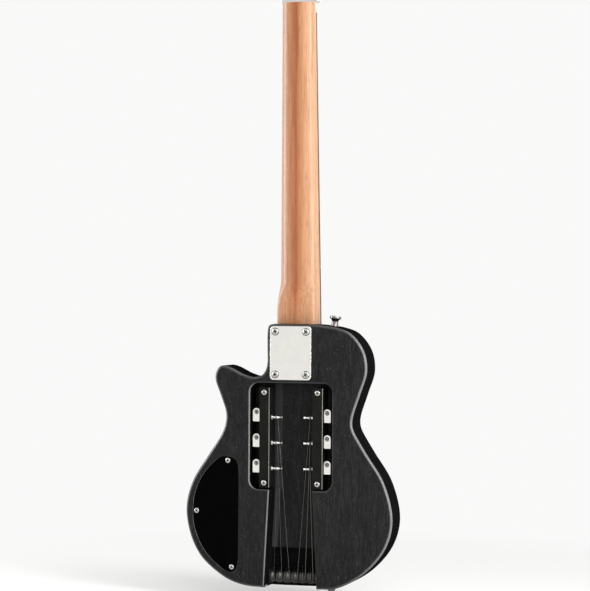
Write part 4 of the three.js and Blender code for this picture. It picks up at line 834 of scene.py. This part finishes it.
# ---- screws
def screws(name, places, out, sizes, material, node=None, matrix=None):
    """Round-headed screws whose heads look out, with a cross cut into each.

    Without a matrix the crosses get dark floors, as painted shade. With one, the screws are moved
    by it.
    """
    head_r, head_h, shank_r, length, depth = sizes
    u = out.cross(UP if abs(out.z) < .9 else vec(1, 0, 0)).normalized()
    v = out.cross(u)
    dome = [(head_r * cos(a * .93), head_h * (.35 + .65 * sin(a)))
            for a in (k / 6 * pi / 2 for k in range(1, 7))]
    heads = Shape()
    for place in places:
        random.uniform(0, pi)  # not used, but the turns drawn below follow from it
        heads.skin([[place + (u * cos(a) + v * sin(a)) * r + out * h for a in turns(28)]
                    for r, h in [(shank_r, -length), (shank_r, 0), (head_r, 0)] + dome])
    low, w, t = head_h - depth, head_r * .62, head_r * .15
    crosses, shade_floors = [], Shape()
    look = out.to_track_quat("Z", "Y").to_matrix().to_4x4()
    for place in places:
        turn = random.uniform(.2, 1.4)
        for k in range(2):
            at = Matrix.Translation(place) @ (look @ Matrix.Rotation(turn + k * pi / 2, 4, "Z"))
            crosses.append(Shape().box((-w, w), (-t, t), (low, head_h + 1), matrix=at))
            # Painted shade: a dark floor in each cross
            shade_floors.box((-w * .98, w * .98), (-t * .95, t * .95), (low - .05, low + depth * .3),
                       matrix=at)
    piece(name, heads, material, node, sharp=40, cuts=crosses, matrix=matrix)
    if matrix is None:
        piece(name + "_recess", shade_floors, M_RECESS_SHADE)


def build_plate():
    plate = Shape().prism(rounded(0, PLATE_Z, PLATE_W, PLATE_L, 4.2, 10), BACK - PLATE_T, BACK, .4,
                          round1=False)
    bore = raised(BACK, (4.7, -3), (4.7, -1.5), (4.5, -.7), (2.4, -.5), (2.4, 1))
    piece("neck_plate_piece", plate, M_PLATE, "neck_plate",
          cuts=[Shape().lathe(bore, "Y", (x, 0, z), 36) for x, z in NECK_SCREWS])
    # Painted shade: a dark ring in the gap around each screw head
    gap = raised(BACK, (4.1, -.75), (4.5, -.75), (4.5, -.6), (4.1, -.6))
    for k, (x, z) in enumerate(NECK_SCREWS, 1):
        screws(f"neck_screw_piece_{k}", [vec(x, BACK - .9, z)], TO_BACK,
               (4, 1.9, 2, 36, 1.1), M_SCREW, f"neck_screw_{k}")
        ring = Shape().lathe(gap, "Y", (x, 0, z), 36, closed=True)
        piece(f"neck_screw_shade_{k}", ring, M_RECESS_SHADE)


def build_cover():
    cover = Shape().prism(offset(COVER_PTS, -GAP), BACK, BACK + COVER_T, .3, round1=False)
    piece("control_cover_piece", cover, M_COVER, "control_cover")
    screws("cover_screws", [vec(x, BACK, z) for x, z in COVER_SCREWS], TO_BACK,
           (3, 1.3, 1.4, 12, .7), M_STEEL)


# ---- tuners
def build_rails():
    top = BACK + RAIL_TOP
    for s, side in SIDES:
        outline = rounded(s * (RAIL_IN + RAIL_W / 2), RAIL_MID, RAIL_W, RAIL_LEN, .9, 3)
        rail = Shape().prism(outline, top, BACK + BAY_D, .7, round1=False)
        piece(f"rail_{side}", rail, M_RAIL, f"tuner_rail_{side}",
              cuts=[Shape().rod(POST_BORE, "X", -60, 60, POST_Y, z) for z in POST_Z])
        a, b = s * (RAIL_IN - 1.5), s * RAIL_IN
        bushing = [(POST_BORE, a), (3.1, a), (3.4, a + s * .15), (3.5, a + s * .4), (3.5, b),
                   (POST_BORE, b)]
        bushings = Shape()
        for z in POST_Z:
            bushings.lathe(bushing, "X", (0, POST_Y, z), closed=True)
        piece(f"post_bushings_{side}", bushings, M_CHROME)
    screws("rail_screws", [vec(x, top, z) for x, z in RAIL_SCREWS], TO_BACK,
           (3.1, 1.4, 1.6, 30, .8), M_STEEL)


def housing_points(side, z):
    """A block with a round end beside its rail."""
    cx, top = RAIL_OUT + HOUSING_R, HOUSING_LEN + HOUSING_LOW - HOUSING_R
    pts = [on_circle(vec(cx, top), HOUSING_R, pi * i / 16) for i in range(17)]
    pts += [vec(RAIL_OUT + dx, HOUSING_LOW + dz) for dx, dz in
            ((0, 1.2), (.35, .35), (1.2, 0), (8.3, 0), (9.15, .35), (9.5, 1.2))]
    if side < 0:
        pts = [vec(-p.x, p.y) for p in pts][::-1]
    return [p + vec(0, z) for p in pts]


WHEEL = (WORM_X - 2.1, WORM_X + 2.1)
POST_PROFILE = ((0, 13.2), (1.8, 13.2), (2.1, 13.4), (2.2, 13.7), (2.1, 14.1), (1.6, 14.9),
                (1.3, 15.9), (1.25, 16.8), (1.3, 17.7), (1.6, 18.6), (1.95, 19.4), (2, 19.8),
                (2, WHEEL[0]), (3.9, WHEEL[0]), (3.9, WHEEL[1]), (2, WHEEL[1]), (2, 47.3),
                (0, 47.3))
STRING_HOLE_X = 16.8
BUTTON_Y, BUTTON_HALF, BUTTON_W, BUTTON_T = BACK + 40, 5.6, 8.2, 3.7


def build_tuner(s, name, z):
    axis, at = (0, POST_Y, z), vec(s * WORM_X, 0, z + WORM_DZ)
    shell = Shape().prism(housing_points(s, z), HOUSING_Y, HOUSING_Y + HOUSING_T, .7, 4)
    wheel = Shape().lathe([(4.2, s * (WORM_X - 2.4)), (4.2, s * (WORM_X + 2.4))], "X", axis)
    bore = Shape().rod(POST_BORE, "X", *sorted((s * (RAIL_OUT - 4), s * (RAIL_OUT + 8.4))),
                       POST_Y, z, 24)
    worm = Shape().lathe(raised(HOUSING_Y, (2.9, -1), (2.9, .5), (2.4, .8), (2.4, 17)), "Y", at)
    piece(f"housing_{name}", shell, M_HOUSING, f"tuner_housing_{name}", sharp=32,
          cuts=[wheel, bore, worm])

    post = Shape().lathe([(r, s * x) for r, x in POST_PROFILE], "X", axis)
    hole = Shape().rod(.6, "Z", z - 4, z + 4, s * STRING_HOLE_X, POST_Y, 16)
    body = f"post_{name}"
    piece(f"post_piece_{name}", post, M_CHROME, body, body, 30, [hole])

    key = Shape().lathe([(2, WORM_END + .9), (2.1, WORM_END + 1.1), (2.1, BACK + 37)], "Y", at, 28)
    rings = []
    for a in (pi * k / 24 for k in range(1, 24)):
        w, y = sin(a), BUTTON_Y - BUTTON_HALF * cos(a)
        rings.append([at + vec(squared(cos(b), .8) * BUTTON_W * w, y,
                               squared(sin(b), .9) * BUTTON_T * w) for b in turns(36)])
    body = f"key_{name}"
    piece(f"key_piece_{name}", key.skin(rings), M_CHROME, body, body, 50)
    tip = raised(WORM_END, (.4, .7), (.9, .7), (.9, .1), (1.2, 0), (1.9, 0), (2.1, .2), (2.1, .9),
                 (.4, .9))
    tip = Shape().lathe(tip, "Y", at, 28, closed=True)
    piece(f"worm_end_{name}", tip, M_END, body=body)
    # Painted shade: a dark hexagon at the floor of the hollow in the worm's end
    socket = Shape().lathe(raised(WORM_END, (0, .65), (.95, .65), (.95, .8), (0, .8)), "Y", at, 6)
    piece(f"worm_recess_shade_{name}", socket, M_BRACKET, body=body)


# ---- tail rollers
def build_rollers():
    h, axis = ROLLER_W / 2, (0, ROLLER.x, ROLLER.y)
    half = [(2.3, h), (7.35, h), (7.5, h - .15), (7.5, h - 1.5), (7.42, h - 1.95), (7.1, 2.3),
            (6.5, 1.6), (6.1, 1.1), (GROOVE_R, .8)]
    for i in range(6):
        groove = raised(tail_x(i), *[(r, -x) for r, x in half], *half[::-1])
        roller = Shape().lathe(groove, "X", axis, 48, closed=True)
        body = f"roller_{i + 1}"
        piece(f"roller_piece_{i + 1}", roller, M_ROLLER, body, body, 40)
    outer = 2.5 * TAIL_PITCH + h + GAP + BRACKET_T
    rod = rounds([(0, -outer), (2, -outer), (2, outer), (0, outer)], .4)
    piece("axle_piece", Shape().lathe(rod, "X", axis), M_STEEL, "roller_axle")
    floor, low = BACK + TAIL_BAY_D, ROLLER.y - BRACKET_R
    bracket = Shape()
    for s, _ in SIDES:
        bracket.box(sorted((s * (outer - BRACKET_T), s * outer)), (ROLLER.x - BRACKET_R, floor),
                    (low, ROLLER.y + BRACKET_R), .5)
    bracket.box((-outer, outer), (floor - BRACKET_T, floor), (low, low + 8), .4)
    piece("bracket_piece", bracket, M_BRACKET, "roller_bracket",
          cuts=[Shape().rod(2.3, "X", -40, 40, ROLLER.x, ROLLER.y, 24)])
    places = [vec(s * 18, floor - BRACKET_T, low + 4) for s, _ in SIDES]
    screws("bracket_screws", places, TO_BACK, (2.7, 1.1, 1.4, 8, .6), M_DARK_STEEL)


# ---- strings
WRAP_X, WRAP_TURNS, WRAP_STEPS, POST_R = 20.3, 2.25, 32, 2


def string_points(i):
    """From the ball end over the zero fret, saddle and roller to the turns on the post."""
    r, b, around = GAUGES[i] / 2, front_angle(i), roller_r(i)
    nx, tx = nut_x(i), tail_x(i)
    pts = [NECK @ vec(nx, head_y(i), z) for z in (HEAD_MID + GAP + 1.5, HEAD_BOTTOM)]
    zero = vec(nx, string_y(i), NUT_Z)
    for a in (k / 3 for k in range(-3, 4)):
        pts.append(NECK @ (zero + vec(0, -abs(a) ** 1.6 * .06, -a * .9)))
    top = saddle_top(i)
    start, end = pts[-1], vec(tx, top.y + r, top.z + 3.4)
    pts += [start.lerp(end, k / 12) for k in range(1, 13)]
    corner, entry = vec(tx, *saddle_end(i)), vec(tx, *on_circle(ROLLER, around, b))
    pts += curve(corner + (end - corner).normalized() * 1.6, corner,
                 corner + (entry - corner).normalized() * 1.6, 8)
    side, row = (-1, 2 - i) if i < 3 else (1, i - 3)
    post, wrap_r = vec(POST_Y, POST_Z[row]), POST_R + GAP + r
    back = tangent(ROLLER, post, around + wrap_r, 1)
    turn = (back - 2 * pi) - b
    pts += [vec(tx, *on_circle(ROLLER, around, b + turn * k / 24)) for k in range(25)]
    first, last = back + pi, pts[-1]
    goal = vec(side * WRAP_X, *on_circle(post, wrap_r, first))
    pts += [last.lerp(goal, k / 8) for k in range(1, 8)]
    for k in range(int(WRAP_TURNS * WRAP_STEPS) + 1):
        p = on_circle(post, wrap_r, first + 2 * pi * k / WRAP_STEPS)
        pts.append(vec(side * (WRAP_X + (GAUGES[i] + .5) * k / WRAP_STEPS), *p))
    return pts


def build_strings():
    ball = raised(HEAD_MID + GAP, (1.3, 0), (1.8, .25), (1.9, .7), (1.4, 1.3), (1.4, 1.7),
                  (1.9, 2.3), (1.8, 2.75), (1.3, 3))
    for i in range(6):
        string = Shape().tube(string_points(i), GAUGES[i] / 2)
        string.lathe(ball, "Z", (nut_x(i), head_y(i), 0), 20, matrix=NECK)
        piece(f"string_piece_{i + 1}", string, M_WOUND if i >= WOUND_FROM else M_PLAIN,
              f"string_{i + 1}", sharp=50)


# ---- head piece
def build_head():
    back = NECK_TOP + GAP
    tongue = back + 3.4
    head = Shape().prism(rounded(0, HEAD_MID, 46, HEAD_L, 2.5, 6), back, back + HEAD_H, 1, 4)
    joined = Shape().box((-20.2, 20.2), (back, tongue), (BOARD_HEAD + GAP, HEAD_MID), .3)
    above, tools = HEAD_BOTTOM + 30, []
    for i in range(6):
        tools.append(Shape().rod(1.1, "Z", HEAD_BOTTOM - 4, above, nut_x(i), head_y(i), 20))
        tools.append(Shape().rod(2.2, "Z", HEAD_MID, above, nut_x(i), head_y(i), 28))
    tools.append(Shape().rod(2.2, "Y", back - 4, back + 3.1, 0, HEAD_MID, 6))
    piece("head_piece_block", head, M_HEAD, "head_piece", cuts=tools, joins=[joined],
          matrix=NECK)
    z = BOARD_HEAD + (NECK_END - BOARD_HEAD) / 2
    screws("head_screws", [vec(s * 12, tongue, z) for s, _ in SIDES], TO_FRONT,
           (2.9, 1.3, 1.6, 10, .8), M_STEEL, matrix=NECK)


# ---- bridge, pickup and controls
def build_bridge():
    low, top, floor = BRIDGE_LOW, BRIDGE_LOW + BRIDGE_H, BRIDGE_LOW + 1.8
    bridge = Shape().prism(rounded(0, BRIDGE_Z, 84, 12.6, 6, 12), low, top, .8)
    trough = Shape().box((-30.4, 30.4), (floor, top + 4), (BRIDGE_Z - 4.9, BRIDGE_Z + 4.9))
    piece("bridge_piece", bridge, M_CHROME, "bridge", cuts=[trough])
    post = rounds([(0, FRONT - 14), (2.9, FRONT - 14), (2.9, low - 2), (8.4, low - 2), (8.4, low),
                   (2.9, low + .1), (2.9, top + .3), (0, top + .3)], .35)
    fittings = Shape()
    for s, _ in SIDES:
        fittings.lathe(post, "Y", (s * BRIDGE_POST_X, 0, BRIDGE_Z), 40)
    head = BRIDGE_Z - 6.3 - 1.2
    screw_head = rounds(raised(head, (0, 0), (1.7, 0), (1.7, 1.4), (0, 1.4)), .25)
    for i in range(6):
        at = (tail_x(i), BRIDGE_SCREW_Y, 0)
        fittings.lathe([(.9, head + 1), (.9, BRIDGE_Z + 5.6)], "Z", at, 14)
        fittings.lathe(screw_head, "Z", at, 20)
    piece("bridge_posts_and_screws", fittings, M_CHROME)
    for i in range(6):
        build_saddle(i, low + 2.1)


def build_saddle(i, base):
    x, y, r = tail_x(i), saddle_top(i).y, GAUGES[i] / 2
    crest, shoulder = y - .2, min(base + 3 * 1.7, y - .9)
    half = [(base, 2), (shoulder - .3, 2), (shoulder, 1.8), (crest - .12, .5), (crest, .2)]
    section = [(h, -z) for h, z in half] + half[::-1]
    rings = [[vec(x + dx, max(h - less, base), BRIDGE_Z + z * (1 - less * .12))
              for h, z in section] for dx, less in ((-4.1, .25), (-3.85, 0), (3.85, 0), (4.1, .25))]
    bore = Shape().rod(1.2, "Z", BRIDGE_Z - 6, BRIDGE_Z + 6, x, BRIDGE_SCREW_Y, 16)
    notch = Shape().rod(r + .15, "Z", BRIDGE_Z - 4, BRIDGE_Z + 4, x, y + r, 16)
    body = f"saddle_{i + 1}"
    piece(f"saddle_piece_{i + 1}", Shape().skin(rings), M_STEEL, body, body,
          cuts=[bore, notch])


def build_pickup():
    low, top, outline = PICKUP_LOW, PICKUP_TOP, rounded(0, PICKUP_Z, PICKUP_W, PICKUP_L, 3)
    pickup = Shape().prism(outline, low, top, .9, 4, round0=False)
    ears = Shape().box((-EARS_W / 2, EARS_W / 2), (low, low + EARS_T),
                       (PICKUP_Z - EARS_L / 2, PICKUP_Z + EARS_L / 2))
    piece("pickup_piece", pickup, M_KNOB, "pickup", joins=[ears])
    poles = Shape()
    for i in range(6):
        for s, proud, soft in ((-1, .6, .3), (1, .25, .2)):
            pole = rounds(raised(top, (0, -.5), (POLE_R, -.5), (POLE_R, proud), (0, proud)), soft)
            poles.lathe(pole, "Y", (tail_x(i), 0, PICKUP_Z + s * POLE_ROW), 28)
    slots = [Shape().box((tail_x(i) - 1.9, tail_x(i) + 1.9), (top + .2, top + 2),
                         (PICKUP_Z - POLE_ROW - .3, PICKUP_Z - POLE_ROW + .3)) for i in range(6)]
    piece("pickup_poles", poles, M_STEEL, cuts=slots)
    screws("pickup_screws", [vec(s * 37.25, low + EARS_T, PICKUP_Z) for s, _ in SIDES], TO_FRONT,
           (2.7, 1.3, 1.4, 9, .7), M_STEEL)


RIBS, RIB_D = 36, .28


def build_knob(name, z):
    floor, low, top = FRONT - POT_WALL, KNOB_LOW, KNOB_LOW + KNOB_H
    pot = rounds([(0, floor - 10), (8.3, floor - 10), (8.3, floor), (4.2, floor),
                  (4.2, FRONT + 3.6), (3.3, FRONT + 3.6), (3.3, floor - .5), (0, floor - .5)], .3)
    pot = Shape().lathe(pot, "Y", (KNOB_X, 0, z), 36)
    piece(f"pot_piece_{name}", pot, M_STEEL, f"{name}_pot")
    nut = Shape().lathe(raised(FRONT, (3.3, .3), (6.6, .3), (6.6, 1.9), (3.3, 1.9)), "Y",
                        (KNOB_X, 0, z), 6, closed=True)
    piece(f"pot_nut_{name}", nut, M_STEEL)
    profile = ((.01, low + 4.4, 0), (7.6, low + 4.4, 0), (7.6, low, 0), (9.2, low, 0),
               (9.45, low + .3, 0), (9.4, low + 1, 0), (9.3, low + 2, RIB_D),
               (8.75, top - 2.4, RIB_D), (8.6, top - 1.6, 0), (8.45, top - .7, 0),
               (8, top - .15, 0), (7.4, top, 0), (.01, top - .1, 0))
    rings = []
    for r, y, rib in profile:
        radii = [(a, r - rib * (.5 - .5 * cos(a * RIBS))) for a in turns(RIBS * 4)]
        rings.append([vec(KNOB_X + q * sin(a), y, z + q * cos(a)) for a, q in radii])
    knob = Shape().skin(rings)
    knob.box((KNOB_X - .35, KNOB_X + .35), (top - .3, top), (z + 3, z + 7.6), .1)
    knob.lathe([(3, floor + .3), (3, low + 5)], "Y", (KNOB_X, 0, z), 24)
    body = f"{name}_knob"
    piece(f"knob_piece_{name}", knob, M_KNOB, body, body, 40)
    mark = Shape().box((KNOB_X - .3, KNOB_X + .3), (top - .25, top + .12), (z + 3.2, z + 7.4), .05)
    piece(f"knob_mark_{name}", mark, M_PEARL, body=body)


def build_socket():
    face, at = SOCKET_X - 2, (0, SOCKET_Y, SOCKET_Z)
    outer = face - 1.8
    sleeve = raised(outer, (3.3, .4), (5.6, .1), (5.6, 26), (3.3, 26), (3.3, .4))
    flange = [(5.5, face), (11.7, face), (12.5, face + .8), (12.5, SOCKET_X), (5.5, SOCKET_X),
              (5.5, face)]
    nut = [(5.5, outer), (8.3, outer), (8.6, outer + .3), (8.6, face), (5.5, face)]
    socket = Shape().lathe(rounds(sleeve, .2), "X", at, 40, closed=True)
    socket.lathe(rounds(flange, .2), "X", at, 56, closed=True)
    socket.lathe(nut, "X", at, 6, closed=True)
    piece("socket_piece", socket, M_CHROME, "output_socket")


def build_strap_button(name, x):
    """A button on the body's outline, square to it, at a place across the body."""
    for a, b in zip(BODY_PTS, BODY_PTS[1:] + BODY_PTS[:1]):
        crosses = (a.x - x) * (b.x - x) <= 0 and a.x != b.x
        if crosses and (a.y > BODY_L / 2) == (name == "upper"):
            break
    place, along = a.lerp(b, (x - a.x) / (b.x - a.x)), (b - a).normalized()
    matrix = Matrix.Translation((place.x, 0, place.y)) @ Matrix.Rotation(
        atan2(along.y, -along.x), 4, "Y")
    profile = [(1.9, .3), (5.2, .3), (5, .7), (4.4, 1.6), (4, 3.2), (3.9, 4.6), (3.95, 6),
               (4.3, 7.2), (5.2, 8.2), (6.5, 9), (6.95, 9.5), (7, 10.2), (6.95, 11.2),
               (6.7, 11.9), (6, 12.3), (4.6, 12.3), (4.4, 11.9), (1.9, 11.9)]
    button = Shape().lathe(profile, "Z", (0, 0, 0), 40, closed=True, matrix=matrix)
    piece(f"strap_button_piece_{name}", button, M_BUTTON, f"strap_button_{name}", sharp=40)
    screws(f"strap_screw_{name}", [vec(0, 0, 12)], UP, (3.7, 1.4, 1.9, 34, .8), M_STEEL,
           matrix=matrix)


build_body()
build_neck()
build_plate()
build_cover()
build_rails()
for side, side_name in SIDES:
    for row, post_z in enumerate(POST_Z, 1):
        build_tuner(side, f"{side_name}_{row}", post_z)
build_rollers()
build_strings()
build_head()
build_bridge()
build_pickup()
for knob_name, knob_z in KNOB_Z:
    build_knob(knob_name, knob_z)
build_socket()
for button_name, share in BUTTON_SHARES:
    build_strap_button(button_name, share * BODY_W)

# The truss rod alone is shown as the CAD has it
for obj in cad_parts.values():
    if not obj.hide_render:
        obj.data.materials.clear()
        obj.data.materials.append(M_DARK_STEEL)


# ---- stage, light and camera
PALE = (.95, .95, .945, 1)
AMBIENT = .36


def pale_where_seen(tree, plain, seen, share=1.0):
    """Shows a second shader to the rays that the camera and the shiny pieces see by."""
    ray = tree.nodes.new("ShaderNodeLightPath").outputs
    rays = tree.math("MAXIMUM", ray["Is Camera Ray"], ray["Is Glossy Ray"])
    rays = tree.math("MAXIMUM", rays, ray["Is Transmission Ray"])
    return tree.node("MixShader", {0: tree.times(rays, share), 1: plain, 2: seen})


def build_stage():
    """A floor whose colour runs out into the background's."""
    m = Mat("stage_pale", srgb(243, 243, 242), .9, 0, .05)
    x, y, _ = m.parts(m.coord)
    far = m.step(m.math("SQRT", m.math("ADD", m.times(x, x), m.times(y, y))), .2, .75)
    glow = m.node("Emission", {"Color": PALE})
    m.links.new(pale_where_seen(m, m.b.outputs[0], glow, far), m.nodes["Material Output"].inputs[0])
    corners = [(x, y, cad_box[0][2] - .0005) for x, y in ((-9, -5), (9, -5), (9, 14), (-9, 14))]
    mesh = bpy.data.meshes.new("stage")
    mesh.from_pydata(corners, [], [(0, 1, 2, 3)])
    mesh.materials.append(m.m)
    link("stage", mesh)


def build_world():
    world = bpy.data.worlds.new("world")
    bpy.context.scene.world = world
    world.use_nodes = True
    tree = Nodes(world.node_tree)
    ambient = tree.nodes["Background"]
    ambient.inputs["Color"].default_value = PALE
    ambient.inputs["Strength"].default_value = AMBIENT
    pale = tree.node("Background", {"Color": PALE, "Strength": 1.0})
    tree.links.new(pale_where_seen(tree, ambient.outputs[0], pale),
                   tree.nodes["World Output"].inputs["Surface"])


def area(name, place, target, width, height, power):
    light = bpy.data.lights.new(name, "AREA")
    light.energy, light.shape = power, "RECTANGLE"
    light.size, light.size_y = width, height
    obj = link(name, light)
    obj.location = place
    obj.rotation_euler = (Vector(target) - Vector(place)).to_track_quat("-Z", "Y").to_euler()


build_stage()
build_world()
area("strip_right", (.74, -.38, .62), (0, 0, .4), .25, 1.1, 8.5)
area("strip_left", (-1.2, -.15, .66), (0, 0, .4), .35, 1.2, 13)
area("key", (.9, -2.1, 1.3), (0, 0, .3), 1.0, 1.0, 9)
area("fill_front", (.3, 1.6, 1.4), (0, 0, .3), 1.4, 1.4, 12)

# The photograph's view: 1.19 mm to a pixel, 590 pixels wide, seen from 2.5 m
YAW, ROLL = radians(16.7), radians(.3)
DIST, SENSOR, MM_PER_PIXEL, WIDTH = 2.5, 36, 1.19, 590
target = vec(4.91 * MM, BACK * MM, .349)
camera = bpy.data.cameras.new("camera")
camera.sensor_width = SENSOR
camera.lens = DIST / MM * SENSOR / (MM_PER_PIXEL * WIDTH)
camera.clip_end = 50
cam = link("camera", camera)
cam.location = target + vec(sin(YAW), -cos(YAW), 0) * DIST
facing = (target - cam.location).to_track_quat("-Z", "Y").to_matrix().to_4x4()
cam.matrix_world = Matrix.Translation(cam.location) @ facing @ Matrix.Rotation(ROLL, 4, "Z")
bpy.context.scene.camera = cam
bpy.context.scene.view_settings.view_transform = "Standard"
